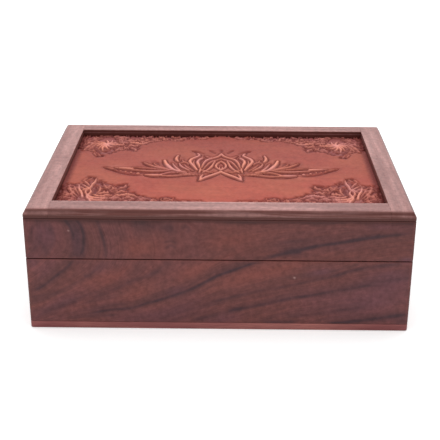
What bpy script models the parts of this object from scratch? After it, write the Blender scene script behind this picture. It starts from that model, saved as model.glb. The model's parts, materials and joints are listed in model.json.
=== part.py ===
"""A hinged rosewood box for a deck of cards, with a carved panel framed in its lid.

Metres, +Z up. The origin is the centre of the underside, +X runs to the right of the front face and
+Y to the back. The carcass is four mitred walls sawn into a tray and a lid. The tray stands on a base
board. Four rails cap the lid's walls and hold down the rebated panel. Two butt hinges are let into the
back rims, inside a V groove whose faces meet as the stop when the lid stands open. Cloth-covered pads
and strips line both halves.
"""

import math

import bmesh
import bpy
from mathutils import Vector
from mathutils.geometry import delaunay_2d_cdt

MM = 0.001

# The closed box.
BOX_WIDTH = 178 * MM
BOX_DEPTH = 127 * MM
BOX_HEIGHT = 60.7 * MM
SEAM_HEIGHT = 36.2 * MM  # middle of the seam between tray and lid
SEAM_GAP = 0.4 * MM

# Boards of the carcass.
WALL_THICKNESS = 9 * MM
BASE_THICKNESS = 3.4 * MM
BASE_EDGE_EASE = 0.7 * MM
CORNER_EASE = 1.2 * MM  # leg of the small flat on the upright corners
GLUE_GAP = 0.3 * MM  # left between two boards where the glue line is

# Rails of the lid's top frame.
RAIL_THICKNESS = 4.2 * MM
SIDE_RAIL_WIDTH = 11.7 * MM
CROSS_RAIL_WIDTH = 11.1 * MM
RAIL_ROUND = 3 * MM
RAIL_ROUND_STEPS = 5
ROUND_PROFILE = 0.5  # the bevel tool's value for a quarter circle

# Carved panel and the rebate that it drops into.
PANEL_THICKNESS = 5 * MM
PANEL_RECESS = 3.2 * MM  # from the frame's top down to the panel's field
PANEL_PLAY = 0.3 * MM
REBATE_WIDTH = 3 * MM

# The panel's carving: a lotus in the middle and a spray of leaves in each corner.
LOTUS_WIDTH = 120 * MM
LOTUS_SET_BACK = 1.4 * MM  # from the panel's middle to the lotus's, towards the back
SPRAY_REACH = 20 * MM  # from a spray's flower to the tip of its longest leaf
SPRAY_FROM_SIDE = 25.7 * MM  # from the box's side to a spray's flower
SPRAY_FROM_FRONT = 31.4 * MM
SPRAY_FROM_BACK = 27.6 * MM
CARVED_LINE_WIDTH = 2 * MM
CARVED_LINE_DEPTH = 0.7 * MM
CARVED_RIB_WIDTH = 2 * MM
CARVED_RIB_HEIGHT = 0.3 * MM
CARVED_GROUND_DEPTH = 0.5 * MM
CARVED_GROUND_SLOPE = 0.8 * MM  # how far the ground's edge runs while it drops
CARVED_MARGIN = 0.6 * MM  # from the field's edge to the nearest cut
CARVED_SAME_PLACE = 0.1 * MM  # carved points closer than this are one point

# Cloth-covered linings.
LINING_THICKNESS = 1.5 * MM
LINING_PLAY = 0.3 * MM
LINING_BELOW_RIM = 2.4 * MM
LINING_SOFT_EDGE = 0.5 * MM
LINING_SOFT_STEPS = 2
PAD_THICKNESS = 2.2 * MM
PAD_SOFT_EDGE = 1 * MM
PAD_SOFT_STEPS = 4

# Butt hinges. The axis lies inside the back face by its inset.
HINGE_FROM_END = 36 * MM  # from the box's side to the middle of a hinge
HINGE_LENGTH = 25 * MM
HINGE_AXIS_INSET = 2 * MM
LEAF_WIDTH = 5.4 * MM
LEAF_THICKNESS = 0.9 * MM
KNUCKLE_RADIUS = 1.5 * MM
KNUCKLE_GAP = 0.3 * MM
PIN_RADIUS = 0.6 * MM
PIN_PLAY = 0.3 * MM
MORTISE_PLAY = 0.3 * MM
STOP_OPENING = math.radians(100)  # the lid's angle when the groove's two faces meet
STOP_PLAY = 0.15 * MM  # from the axis to each face of the groove
KNUCKLE_SIDES = 24
PIN_SIDES = 16

# Countersunk wood screws of the hinges.
SCREW_FROM_LEAF_END = 4.5 * MM
SCREW_FROM_AXIS = 3.6 * MM
SCREW_HEAD_RADIUS = 1.5 * MM
SCREW_HEAD_RIM = 0.15 * MM
SCREW_HEAD_HEIGHT = 0.75 * MM
SCREW_SHANK_RADIUS = 0.8 * MM
SCREW_LENGTH = 7 * MM
SCREW_POINT_LENGTH = 1.6 * MM
SCREW_SLOT_WIDTH = 0.45 * MM
SCREW_SLOT_DEPTH = 0.35 * MM
SCREW_BELOW_LEAF = 0.05 * MM
SCREW_PLAY = 0.15 * MM
PILOT_PLAY = 0.3 * MM
SCREW_SIDES = 16

SHARP_ANGLE = math.radians(35)
CUT_OVERRUN = 1 * MM
SAME_PLACE = 0.001 * MM  # points closer than this are one point

# Heights and places that follow from the sizes above.
TRAY_RIM = SEAM_HEIGHT - SEAM_GAP / 2
LID_RIM = SEAM_HEIGHT + SEAM_GAP / 2
WALL_FOOT = BASE_THICKNESS + GLUE_GAP
RAIL_UNDERSIDE = BOX_HEIGHT - RAIL_THICKNESS
WALL_TOP = RAIL_UNDERSIDE - GLUE_GAP
PANEL_FIELD = BOX_HEIGHT - PANEL_RECESS
PANEL_UNDERSIDE = PANEL_FIELD - PANEL_THICKNESS
REBATE_LEDGE = PANEL_UNDERSIDE - GLUE_GAP
HINGE_AXIS = Vector((0, BOX_DEPTH / 2 - HINGE_AXIS_INSET, SEAM_HEIGHT))
SCREW_PLACES = (SCREW_FROM_LEAF_END - HINGE_LENGTH / 2, HINGE_LENGTH / 2 - SCREW_FROM_LEAF_END)
HINGE_PLACES = {
    "left": BOX_WIDTH / -2 + HINGE_FROM_END,
    "right": BOX_WIDTH / 2 - HINGE_FROM_END,
}

SIDES = ("front", "right", "back", "left")

# The carved lines, as points chosen by hand. Those of the lotus's left half are sixtieths of its half
# width, right and back of its middle. Those of a spray are twentieths of its reach from its flower,
# towards the box's middle and towards its middle line.
LOTUS_PARTS, SPRAY_PARTS = 60, 20
LOTUS_LINE_SHARES = (
    ((-59.6, 0), (-55, -5), (-50, -9), (-45, -11), (-40, -11.7)),
    ((-55, -1), (-47.5, -5), (-40, -7.5), (-33, -8.5), (-27, -4.6)),
    ((-44.4, -2.7), (-40, -2.5), (-34.8, -3.1)),
    ((-40.6, 7), (-37, 2), (-33, -2), (-25.6, -4.8)),
    ((-30.4, 10), (-29, 3), (-25.4, -3.3), (-18.7, -7.5)),
    ((-26.2, 8.3), (-24, 0), (-20.4, -5.4)),
    ((-37.7, -12.7), (-33, -14), (-26, -14), (-19, -12.5), (-12.3, -11.2)),
    ((-29, -10.6), (-22.5, -9), (-18.8, -9.6)),
    ((-16.7, 13.3), (-17.4, 7), (-14.4, -1.2)),
    ((-8, 16.2), (-10.3, 9.2), (-10.4, 1.5)),
    ((0, 17), (-5.6, 10.6), (-8, 3.3), (-8.6, 0)),
    ((-0.6, -8.4), (-5, -14.2), (-11.6, -20.2)),
    ((-15.4, 27.4), (-12.2, 23.6)),
)
LOTUS_RIB_SHARES = (
    ((-54, -1), (-49, -1.8), (-45.4, -2.2)),
    ((-44.8, -4), (-37, -5.3), (-29.6, -5.2), (-26.4, -3.9)),
    ((-39.9, 7.4), (-35, 1.9), (-28.7, -2), (-25.4, -3.6)),
    ((-37.6, -10.9), (-32.6, -11.3), (-30, -11)),
    ((-29.4, 11.2), (-28, 5), (-25.4, -1.3), (-21, -5.6)),
    ((-22.7, 19.6), (-23.4, 15), (-22.2, 9.6)),
    ((-12.5, 22.8), (-11.5, 20), (-15.2, 14.2), (-16.2, 9), (-14.6, 4.2), (-12.1, -3.3)),
    ((-9.8, 15.6), (-12.2, 9.2), (-11.2, 3.2), (-11, 0.4)),
    ((0, 22.4), (-2.9, 16.7), (-7.3, 12.3), (-9.2, 5.8), (-10, -0.6)),
    ((-3.1, 10.6), (-4.6, 3), (-7.2, -4), (-9.4, -7)),
    ((0, 10.4), (-2.3, 5.4), (-2.2, 0.4), (0.6, -4.6)),
    ((1, -1.2), (-0.6, -6.6), (-4.4, -10.8), (-10.2, -17.6)),
)
SPRAY_RIB_SHARES = (
    ((-10.8, 7.8), (-8.2, 0.5), (-4.4, -6)),
    ((-5.6, 8), (-4.4, 2), (-2.4, -4), (-1, -11), (0.4, -17)),
    ((-2, 18.6), (0.8, 13.5), (0.3, 5.5), (-1.2, 0.5), (0.3, -4.2)),
    ((0.2, 4), (1.3, -0.6), (0.6, -4.6), (3.6, -9.6), (9, -17)),
    ((4.1, 11.5), (5.5, 4), (4.6, -2.6), (5, -8.6)),
    ((5.8, -2.6), (7.2, -1.5), (9.8, -1.6)),
    ((9.8, -8.9), (13, -7.7), (16.4, -8.6)),
    ((13, -4.9), (18.4, -3.2), (22, -5.2)),
    ((14.2, 3.6), (16.4, 5.6), (17.2, 8.8)),
    ((34.8, -12.5), (37.9, -8.6), (41, -12.5)),
)
SPRAY_GROUND_SHARES = (
    (-1.4, 21), (1.5, 18), (2.8, 13.5), (6, 14), (7.4, 10.2), (11, 7.5), (15, 9.8), (18.4, 8), (17.6, 3),
    (19, -1), (22, -2.6), (26, -5.6), (30, -7.2), (34, -9.4), (36, -6.6), (40, -6.6), (43, -10.8),
    (49, -10.4), (54.5, -11.4), (55, -21), (-15, -21), (-15, 4), (-10, 10), (-6, 10), (-4.6, 15),
    (-4.2, 19),
)

# Finishes: linear colour, roughness and metallic value.
FINISHES = {
    "rosewood": ((0.155, 0.058, 0.050), 0.5, 0),
    "rosewood_rail": ((0.230, 0.105, 0.085), 0.45, 0),
    "rosewood_base": ((0.215, 0.078, 0.065), 0.5, 0),
    "carved_wood": ((0.380, 0.100, 0.065), 0.6, 0),
    "velvet": ((0.030, 0.006, 0.010), 0.95, 0),
    "brass": ((0.700, 0.480, 0.190), 0.35, 1),
}


def clear_scene():
    for obj in list(bpy.data.objects):
        bpy.data.objects.remove(obj)


def material(name):
    """The named finish as a Principled material, made once."""
    found = bpy.data.materials.get(name)
    if found:
        return found
    colour, roughness, metallic = FINISHES[name]
    made = bpy.data.materials.new(name)
    made.use_nodes = True
    shader = made.node_tree.nodes["Principled BSDF"]
    shader.inputs["Base Color"].default_value = (*colour, 1)
    shader.inputs["Roughness"].default_value = roughness
    shader.inputs["Metallic"].default_value = metallic
    return made


def add_object(name, mesh, finish=None, place=(0, 0, 0), turn=0, pivot=None):
    """Adds a mesh at a place in the world, turned about Z, and hung on the pivot if there is one."""
    obj = bpy.data.objects.new(name, mesh)
    bpy.context.scene.collection.objects.link(obj)
    obj.parent = pivot
    obj.location = Vector(place) - (pivot.location if pivot else Vector())
    obj.rotation_euler.z = turn
    if finish and not mesh.materials:
        mesh.materials.append(material(finish))
    return obj


def finished_mesh(name, bm):
    bm.normal_update()
    bmesh.ops.recalc_face_normals(bm, faces=bm.faces)
    mesh = bpy.data.meshes.new(name)
    bm.to_mesh(mesh)
    bm.free()
    return mesh


def smoothed(mesh):
    """Shades a mesh smooth, except across its sharp edges."""
    mesh.shade_smooth()
    mesh.set_sharp_from_angle(angle=SHARP_ANGLE)
    return mesh


def block_mesh(name, low, high):
    """A plain cuboid between two corners."""
    bm = bmesh.new()
    bmesh.ops.create_cube(bm, size=1)
    middle = (Vector(low) + Vector(high)) / 2
    size = Vector(high) - Vector(low)
    for vert in bm.verts:
        vert.co = middle + Vector(a * b for a, b in zip(vert.co, size))
    return finished_mesh(name, bm)


def stacked_mesh(name, levels):
    """A solid lofted through centred rectangles, each given as half width, half depth and height."""
    return finished_mesh(name, stacked(levels))


def stacked(levels, open_top=False):
    """The same loft as a mesh in the making, which can be left open at its last level."""
    bm = bmesh.new()
    loops = []
    for half_x, half_y, z in levels:
        corners = ((-half_x, -half_y), (half_x, -half_y), (half_x, half_y), (-half_x, half_y))
        loops.append([bm.verts.new((x, y, z)) for x, y in corners])
    for below, above in zip(loops, loops[1:]):
        for i in range(len(below)):
            j = (i + 1) % len(below)
            bm.faces.new((below[i], below[j], above[j], above[i]))
    bm.faces.new(reversed(loops[0]))
    if not open_top:
        bm.faces.new(loops[-1])
    return bm


def turned_mesh(name, outline, sides):
    """A solid turned about Z from an outline of radius and height that starts and ends on the axis."""
    bm = bmesh.new()
    verts = [bm.verts.new((radius, 0, z)) for radius, z in outline]
    edges = [bm.edges.new(pair) for pair in zip(verts, verts[1:])]
    bmesh.ops.spin(
        bm, geom=verts + edges, axis=(0, 0, 1), cent=(0, 0, 0), angle=math.tau, steps=sides, use_merge=True
    )
    bmesh.ops.remove_doubles(bm, verts=bm.verts, dist=SAME_PLACE)
    return smoothed(finished_mesh(name, bm))


def rod_mesh(name, radius, start_x, end_x, sides=KNUCKLE_SIDES):
    """A round rod along X."""
    bm = bmesh.new()
    bmesh.ops.create_cone(
        bm, cap_ends=True, segments=sides, radius1=radius, radius2=radius, depth=end_x - start_x
    )
    for vert in bm.verts:
        x, y, z = vert.co
        vert.co = ((start_x + end_x) / 2 + z, y, -x)
    return finished_mesh(name, bm)


def cutter(name, mesh, place=(0, 0, 0)):
    """A helper that is cut away from others and never shown."""
    obj = add_object(name, mesh, place=place)
    obj.hide_render = True
    obj.display_type = "WIRE"
    return obj


def combine(obj, others, operation):
    for other in others:
        modifier = obj.modifiers.new(f"{operation.lower()}_{other.name}", "BOOLEAN")
        modifier.operation = operation
        modifier.solver = "EXACT"
        modifier.object = other


def frozen_mesh(name, obj, helpers):
    """The mesh that an object's modifiers make. The object and its helpers are then removed."""
    bpy.context.view_layer.update()
    graph = bpy.context.evaluated_depsgraph_get()
    mesh = bpy.data.meshes.new_from_object(obj.evaluated_get(graph))
    mesh.name = name
    for helper in [obj, *helpers]:
        bpy.data.objects.remove(helper)
    return mesh


def corner_cutters():
    """Square posts, turned on edge, whose faces leave the small flat on each upright corner."""
    half_side = CORNER_EASE + CUT_OVERRUN
    reach = (half_side * math.sqrt(2) - CORNER_EASE) / 2
    low, high = (-half_side, -half_side, -CUT_OVERRUN), (half_side, half_side, BOX_HEIGHT + CUT_OVERRUN)
    found = {}
    for ends in ("front", "back"):
        for side in ("left", "right"):
            x = (BOX_WIDTH / 2 + reach) * (1 if side == "right" else -1)
            y = (BOX_DEPTH / 2 + reach) * (1 if ends == "back" else -1)
            post = cutter(f"{ends}_{side}_corner_cutter", block_mesh("corner_post", low, high), (x, y, 0))
            post.rotation_euler.z = math.pi / 4
            found[ends, side] = post
    return found


def mitred_mesh(name, section, length):
    """A wall swept along X from its section of depth behind the outer face and height.

    A mitre ends each point of the section its own depth short of the wall's length.
    """
    bm = bmesh.new()
    near = [bm.verts.new((0, depth, z)) for depth, z in section]
    face = bm.faces.new(near)
    swept = bmesh.ops.extrude_face_region(bm, geom=[face])["geom"]
    far = [item for item in swept if isinstance(item, bmesh.types.BMVert)]
    for side, verts in ((-1, near), (1, far)):
        for vert in verts:
            vert.co.x = side * (length / 2 - vert.co.y - GLUE_GAP / 2)
    return finished_mesh(name, bm)


def wall_section(foot, top, rebate_ledge=None):
    """A wall's section of depth and height, cut back inside above the rebate's ledge if it has one."""
    section = [(0, foot), (WALL_THICKNESS, foot)]
    if rebate_ledge is None:
        section += [(WALL_THICKNESS, top)]
    else:
        rebate = WALL_THICKNESS - REBATE_WIDTH
        section += [(WALL_THICKNESS, rebate_ledge), (rebate, rebate_ledge), (rebate, top)]
    return section + [(0, top)]


def add_walls(prefix, section, cutters, pivot=None):
    """The four mitred walls of one half, each cut at its corners and where the hinges work."""
    walls = {
        "front": (BOX_WIDTH, (0, BOX_DEPTH / -2, 0), 0),
        "right": (BOX_DEPTH, (BOX_WIDTH / 2, 0, 0), math.pi / 2),
        "back": (BOX_WIDTH, (0, BOX_DEPTH / 2, 0), math.pi),
        "left": (BOX_DEPTH, (BOX_WIDTH / -2, 0, 0), -math.pi / 2),
    }
    for side, (length, place, turn) in walls.items():
        name = f"{prefix}_{side}_wall"
        wall = add_object(name, mitred_mesh(name, section, length), "rosewood", place, turn, pivot)
        combine(wall, cutters[side], "DIFFERENCE")


def groove_cutter():
    """The V along the back of the seam. Each face passes just beyond the hinge axis."""
    half_angle = STOP_OPENING / 2
    reach = HINGE_AXIS_INSET + CUT_OVERRUN
    half_mouth = reach * math.tan(half_angle) + STOP_PLAY / math.cos(half_angle)
    half_length = BOX_WIDTH / 2 + CUT_OVERRUN
    apex = -STOP_PLAY / math.sin(half_angle)
    bm = bmesh.new()
    triangle = [
        bm.verts.new((-half_length, y, z)) for y, z in ((apex, 0), (reach, -half_mouth), (reach, half_mouth))
    ]
    face = bm.faces.new(triangle)
    swept = bmesh.ops.extrude_face_region(bm, geom=[face])["geom"]
    far = [item for item in swept if isinstance(item, bmesh.types.BMVert)]
    bmesh.ops.translate(bm, verts=far, vec=(2 * half_length, 0, 0))
    return cutter("back_groove_cutter", finished_mesh("back_groove_cutter", bm), HINGE_AXIS)


def mortise_cutters():
    """For each hinge, the bed of its two leaves, the slot of its barrel and the screws' pilot holes."""
    half_length = HINGE_LENGTH / 2 + MORTISE_PLAY
    bed = SEAM_GAP / 2 + LEAF_THICKNESS + MORTISE_PLAY
    slot = KNUCKLE_RADIUS + MORTISE_PLAY
    pilot_reach = SCREW_LENGTH + SEAM_GAP / 2 + PILOT_PLAY
    found = []
    for side, x in HINGE_PLACES.items():
        place = HINGE_AXIS + Vector((x, 0, 0))
        low, high = (-half_length, -LEAF_WIDTH - MORTISE_PLAY, -bed), (half_length, 0, bed)
        found.append(cutter(f"{side}_leaf_bed_cutter", block_mesh("leaf_bed", low, high), place))
        low, high = (-half_length, -slot, -slot), (half_length, HINGE_AXIS_INSET + CUT_OVERRUN, slot)
        found.append(cutter(f"{side}_barrel_slot_cutter", block_mesh("barrel_slot", low, high), place))
        for number, screw_x in enumerate(SCREW_PLACES, 1):
            radius = SCREW_SHANK_RADIUS + PILOT_PLAY
            outline = [(0, -pilot_reach), (radius, -pilot_reach), (radius, pilot_reach), (0, pilot_reach)]
            mesh = turned_mesh("pilot_hole", outline, SCREW_SIDES)
            middle = place + Vector((screw_x, -SCREW_FROM_AXIS, 0))
            found.append(cutter(f"{side}_pilot_cutter_{number}", mesh, middle))
    return found


def leaf_mesh(name, own_spans, other_spans):
    """A hinge leaf that lies under the axis: a slab with its knuckles, bored and countersunk.

    The spans are the stretches along X of the leaf's own knuckles and of the other leaf's.
    """
    half_length = HINGE_LENGTH / 2
    top = SEAM_GAP / -2
    low, high = (-half_length, -LEAF_WIDTH, top - LEAF_THICKNESS), (half_length, 0, top)
    slab = add_object(name, block_mesh(name, low, high))
    knuckles = [cutter("knuckle", rod_mesh("knuckle", KNUCKLE_RADIUS, *span)) for span in own_spans]
    around = KNUCKLE_RADIUS + KNUCKLE_GAP
    clearances = [cutter("clearance", rod_mesh("clearance", around, *span)) for span in other_spans]
    bore_end = half_length + CUT_OVERRUN
    bore = cutter("bore", rod_mesh("bore", PIN_RADIUS + PIN_PLAY, -bore_end, bore_end, PIN_SIDES))
    rim = SCREW_HEAD_RADIUS + SCREW_PLAY
    neck = SCREW_SHANK_RADIUS + SCREW_PLAY
    cone_top = top - SCREW_BELOW_LEAF - SCREW_HEAD_RIM
    cone_foot = top - SCREW_BELOW_LEAF - SCREW_HEAD_HEIGHT
    below = top - LEAF_THICKNESS - CUT_OVERRUN
    above = top + CUT_OVERRUN
    outline = [(0, below), (neck, below), (neck, cone_foot), (rim, cone_top), (rim, above), (0, above)]
    sink = turned_mesh("sink", outline, SCREW_SIDES)
    sinks = [cutter("sink", sink, (x, -SCREW_FROM_AXIS, 0)) for x in SCREW_PLACES]
    combine(slab, knuckles, "UNION")
    combine(slab, [*clearances, bore, *sinks], "DIFFERENCE")
    return smoothed(frozen_mesh(name, slab, [*knuckles, *clearances, bore, *sinks]))


def screw_mesh():
    """A slotted countersunk screw that points down, with its head's top at zero."""
    tip = -SCREW_LENGTH
    outline = [
        (0, 0),
        (SCREW_HEAD_RADIUS, 0),
        (SCREW_HEAD_RADIUS, -SCREW_HEAD_RIM),
        (SCREW_SHANK_RADIUS, -SCREW_HEAD_HEIGHT),
        (SCREW_SHANK_RADIUS, tip + SCREW_POINT_LENGTH),
        (0, tip),
    ]
    screw = add_object("screw", turned_mesh("screw", outline, SCREW_SIDES))
    half_slot = SCREW_HEAD_RADIUS + CUT_OVERRUN
    low = (-half_slot, SCREW_SLOT_WIDTH / -2, -SCREW_SLOT_DEPTH)
    high = (half_slot, SCREW_SLOT_WIDTH / 2, CUT_OVERRUN)
    slot = cutter("slot", block_mesh("slot", low, high))
    combine(screw, [slot], "DIFFERENCE")
    return smoothed(frozen_mesh("hinge_screw", screw, [slot]))


def add_hinges(pivot):
    """Two butt hinges: a two-knuckle leaf in the tray, a one-knuckle leaf in the lid, a pin and screws."""
    half_length, half_middle, half_gap = HINGE_LENGTH / 2, HINGE_LENGTH / 6, KNUCKLE_GAP / 2
    outer = [(-half_length, -half_middle - half_gap), (half_middle + half_gap, half_length)]
    middle = [(-half_middle + half_gap, half_middle - half_gap)]
    past_end = half_length + CUT_OVERRUN
    outer_room = [(-past_end, -half_middle + half_gap), (half_middle - half_gap, past_end)]
    middle_room = [(-half_middle - half_gap, half_middle + half_gap)]
    tray_leaf = leaf_mesh("tray_leaf", outer, middle_room)
    lid_leaf = leaf_mesh("lid_leaf", middle, outer_room)
    pin = rod_mesh("hinge_pin", PIN_RADIUS, -half_length, half_length, PIN_SIDES)
    screw = screw_mesh()
    for side, x in HINGE_PLACES.items():
        place = HINGE_AXIS + Vector((x, 0, 0))
        add_object(f"{side}_hinge_tray_leaf", tray_leaf, "brass", place)
        turned = add_object(f"{side}_hinge_lid_leaf", lid_leaf, "brass", place, pivot=pivot)
        turned.rotation_euler = (0, math.pi, 0)
        add_object(f"{side}_hinge_pin", pin, "brass", place)
        head = SEAM_GAP / 2 + SCREW_BELOW_LEAF
        for number, screw_x in enumerate(SCREW_PLACES, 1):
            at = place + Vector((screw_x, -SCREW_FROM_AXIS, 0))
            down, up = at - Vector((0, 0, head)), at + Vector((0, 0, head))
            add_object(f"{side}_hinge_tray_screw_{number}", screw, "brass", down)
            turned = add_object(f"{side}_hinge_lid_screw_{number}", screw, "brass", up, pivot=pivot)
            turned.rotation_euler = (0, math.pi, 0)


def add_base(corners):
    """The base board, flush with the walls, its lower edge eased."""
    half_x, half_y = BOX_WIDTH / 2, BOX_DEPTH / 2
    levels = [
        (half_x - BASE_EDGE_EASE, half_y - BASE_EDGE_EASE, 0),
        (half_x, half_y, BASE_EDGE_EASE),
        (half_x, half_y, BASE_THICKNESS),
    ]
    board = add_object("base_board", stacked_mesh("base_board", levels), "rosewood_base")
    combine(board, corners.values(), "DIFFERENCE")


def rail_mesh(name, low, high, rounded):
    """A rail between two corners. Each direction in rounded has its top edge rounded over."""
    bm = bmesh.new()
    bm.from_mesh(block_mesh(name, low, high))
    middle = (Vector(low) + Vector(high)) / 2

    def outer(edge, direction):
        """Whether the edge is the top edge on that side of the rail."""
        level = all(abs(vert.co.z - high[2]) < SAME_PLACE for vert in edge.verts)
        return level and all((vert.co - middle).dot(Vector(direction)) > 0 for vert in edge.verts)

    edges = [edge for edge in bm.edges if any(outer(edge, direction) for direction in rounded)]
    bmesh.ops.bevel(
        bm, geom=edges, offset=RAIL_ROUND, segments=RAIL_ROUND_STEPS, profile=ROUND_PROFILE, affect="EDGES"
    )
    return smoothed(finished_mesh(name, bm))


def add_rails(pivot, corners):
    """The lid's top frame: the side rails run from front to back, the cross rails fit between them."""
    half_x, half_y = BOX_WIDTH / 2, BOX_DEPTH / 2
    inner_x, inner_y = half_x - SIDE_RAIL_WIDTH, half_y - CROSS_RAIL_WIDTH
    cross_x = inner_x - GLUE_GAP
    front, back, left, right = (0, -1, 0), (0, 1, 0), (-1, 0, 0), (1, 0, 0)
    rails = {
        "left": ((-half_x, -half_y), (-inner_x, half_y), (left, front, back)),
        "right": ((inner_x, -half_y), (half_x, half_y), (right, front, back)),
        "front": ((-cross_x, -half_y), (cross_x, -inner_y), (front,)),
        "back": ((-cross_x, inner_y), (cross_x, half_y), (back,)),
    }
    for side, (low, high, rounded) in rails.items():
        name = f"lid_{side}_rail"
        mesh = rail_mesh(name, (*low, RAIL_UNDERSIDE), (*high, BOX_HEIGHT), rounded)
        rail = add_object(name, mesh, "rosewood_rail", pivot=pivot)
        combine(rail, [post for (_, end), post in corners.items() if end == side], "DIFFERENCE")


def from_path(point, path):
    """How far a point lies from a path's straight runs."""
    gaps = []
    for start, end in zip(path, path[1:]):
        step = end - start
        share = (point - start).dot(step) / max(step.length_squared, SAME_PLACE**2)
        gaps.append((point - start - step * min(max(share, 0), 1)).length)
    return min(gaps)


def is_inside(point, outline):
    """Whether a point is inside a closed outline: a line to its right then crosses an odd number of sides."""
    odd = False
    for a, b in zip(outline, outline[1:] + outline[:1]):
        if (a.y > point.y) != (b.y > point.y):
            odd ^= point.x < a.x + (point.y - a.y) / (b.y - a.y) * (b.x - a.x)
    return odd


def beside(path, distance, closed=False):
    """A path moved to its left, square to the mean of the ways into and out of each point."""
    before = [path[-1] if closed else path[0]] + path[:-1]
    after = path[1:] + [path[0] if closed else path[-1]]
    found = []
    for last, point, following in zip(before, path, after):
        ahead = (point - last).normalized() + (following - point).normalized()
        found.append(point + distance * Vector((-ahead.y, ahead.x)).normalized())
    return found


def around(path, distance):
    """The closed outline of a strip along a path, which runs to a point beyond each end."""
    tips = [end + distance * (end - inner).normalized() for end, inner in (path[:2], path[:-3:-1])]
    return tips[:1] + beside(path, distance) + tips[1:] + beside(path, -distance)[::-1]


def carved_paths(shares, unit, places):
    """A table's paths at each place, which is a point with the ways that the table's X and Y run there."""
    return [
        [place + unit * Vector((x * way_x, y * way_y)) for x, y in path]
        for place, way_x, way_y in places
        for path in shares
    ]


class Carving:
    """The lines, ribs and lowered grounds of a field, kept a margin inside its edges."""

    def __init__(self, half_x, half_y):
        self.half_x, self.half_y = half_x - CARVED_MARGIN, half_y - CARVED_MARGIN
        middle = Vector((0, LOTUS_SET_BACK))
        halves = [(middle, 1, 1), (middle, -1, 1)]
        flower_x = BOX_WIDTH / 2 - SPRAY_FROM_SIDE
        front_y, back_y = SPRAY_FROM_FRONT - BOX_DEPTH / 2, BOX_DEPTH / 2 - SPRAY_FROM_BACK
        corners = [
            (Vector((-way_x * flower_x, y)), way_x, way_y)
            for way_x in (1, -1)
            for y, way_y in ((front_y, 1), (back_y, -1))
        ]
        lotus_unit, spray_unit = LOTUS_WIDTH / 2 / LOTUS_PARTS, SPRAY_REACH / SPRAY_PARTS
        lines = carved_paths(LOTUS_LINE_SHARES, lotus_unit, halves)
        ribs = carved_paths(LOTUS_RIB_SHARES, lotus_unit, halves)
        ribs += carved_paths(SPRAY_RIB_SHARES, spray_unit, corners)
        grounds = carved_paths([SPRAY_GROUND_SHARES], spray_unit, corners)
        self.lines = [self.kept(path, CARVED_LINE_WIDTH / 2) for path in lines]
        self.ribs = [self.kept(path, CARVED_RIB_WIDTH / 2) for path in ribs]
        self.grounds = [self.kept(path) for path in grounds]

    def kept(self, path, inset=0):
        """The path with the points that run too near the field's edges moved in."""
        reach_x, reach_y = self.half_x - inset, self.half_y - inset
        return [Vector((min(max(x, -reach_x), reach_x), min(max(y, -reach_y), reach_y))) for x, y in path]

    def height(self, point):
        """The surface at a point: a V along a line, a ridge along a rib and a floor inside a ground."""
        floor = 0
        for outline in self.grounds:
            if is_inside(point, outline):
                drop = from_path(point, outline + outline[:1]) / CARVED_GROUND_SLOPE
                floor = -CARVED_GROUND_DEPTH * min(drop, 1)
        rib = 1 - min(from_path(point, path) for path in self.ribs) / (CARVED_RIB_WIDTH / 2)
        line = 1 - min(from_path(point, path) for path in self.lines) / (CARVED_LINE_WIDTH / 2)
        if rib > 0:
            return floor + (CARVED_RIB_HEIGHT - floor) * rib
        return floor - CARVED_LINE_DEPTH * max(line, 0)

    def drawing(self):
        """The points and edges that the surface folds along: each path, and the edge of what it cuts."""
        points, edges = [], []

        def draw(path, closed=False):
            first, last = len(points), len(points) + len(path) - 1
            points.extend(self.kept(path))
            edges.extend((i, i + 1) for i in range(first, last))
            if closed:
                edges.append((last, first))

        for paths, width in ((self.lines, CARVED_LINE_WIDTH), (self.ribs, CARVED_RIB_WIDTH)):
            for path in paths:
                draw(path)
                draw(around(path, width / 2), closed=True)
        for outline in self.grounds:
            draw(outline, closed=True)
            left = beside(outline, CARVED_GROUND_SLOPE, closed=True)
            right = beside(outline, -CARVED_GROUND_SLOPE, closed=True)
            draw(left if is_inside(left[0], outline) else right, closed=True)
        return points, edges


def carved_mesh(name, levels, carving):
    """A stacked solid whose top face is cut into triangles along the carving's drawing and follows it."""
    bm = stacked(levels, open_top=True)
    half_x, half_y, top = levels[-1]
    points, edges = carving.drawing()
    corners = [Vector((x, y)) for x in (-half_x, half_x) for y in (-half_y, half_y)]
    cut = delaunay_2d_cdt(points + corners, edges, [], 0, CARVED_SAME_PLACE)
    places, triangles = cut[0], cut[2]
    verts = [bm.verts.new((*place, top + carving.height(place))) for place in places]
    for triangle in triangles:
        bm.faces.new([verts[i] for i in triangle])
    bmesh.ops.remove_doubles(bm, verts=bm.verts, dist=SAME_PLACE)
    return finished_mesh(name, bm)


def add_panel(pivot):
    """The panel: a tongue in the walls' rebate under the rails, and a carved field between the rails."""
    tongue = WALL_THICKNESS - REBATE_WIDTH + PANEL_PLAY
    tongue_x, tongue_y = BOX_WIDTH / 2 - tongue, BOX_DEPTH / 2 - tongue
    field_x = BOX_WIDTH / 2 - SIDE_RAIL_WIDTH - PANEL_PLAY
    field_y = BOX_DEPTH / 2 - CROSS_RAIL_WIDTH - PANEL_PLAY
    levels = [
        (tongue_x, tongue_y, PANEL_UNDERSIDE),
        (tongue_x, tongue_y, RAIL_UNDERSIDE - GLUE_GAP),
        (field_x, field_y, RAIL_UNDERSIDE - GLUE_GAP),
        (field_x, field_y, PANEL_FIELD),
    ]
    mesh = carved_mesh("carved_panel", levels, Carving(field_x, field_y))
    add_object("carved_panel", mesh, "carved_wood", pivot=pivot)


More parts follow.
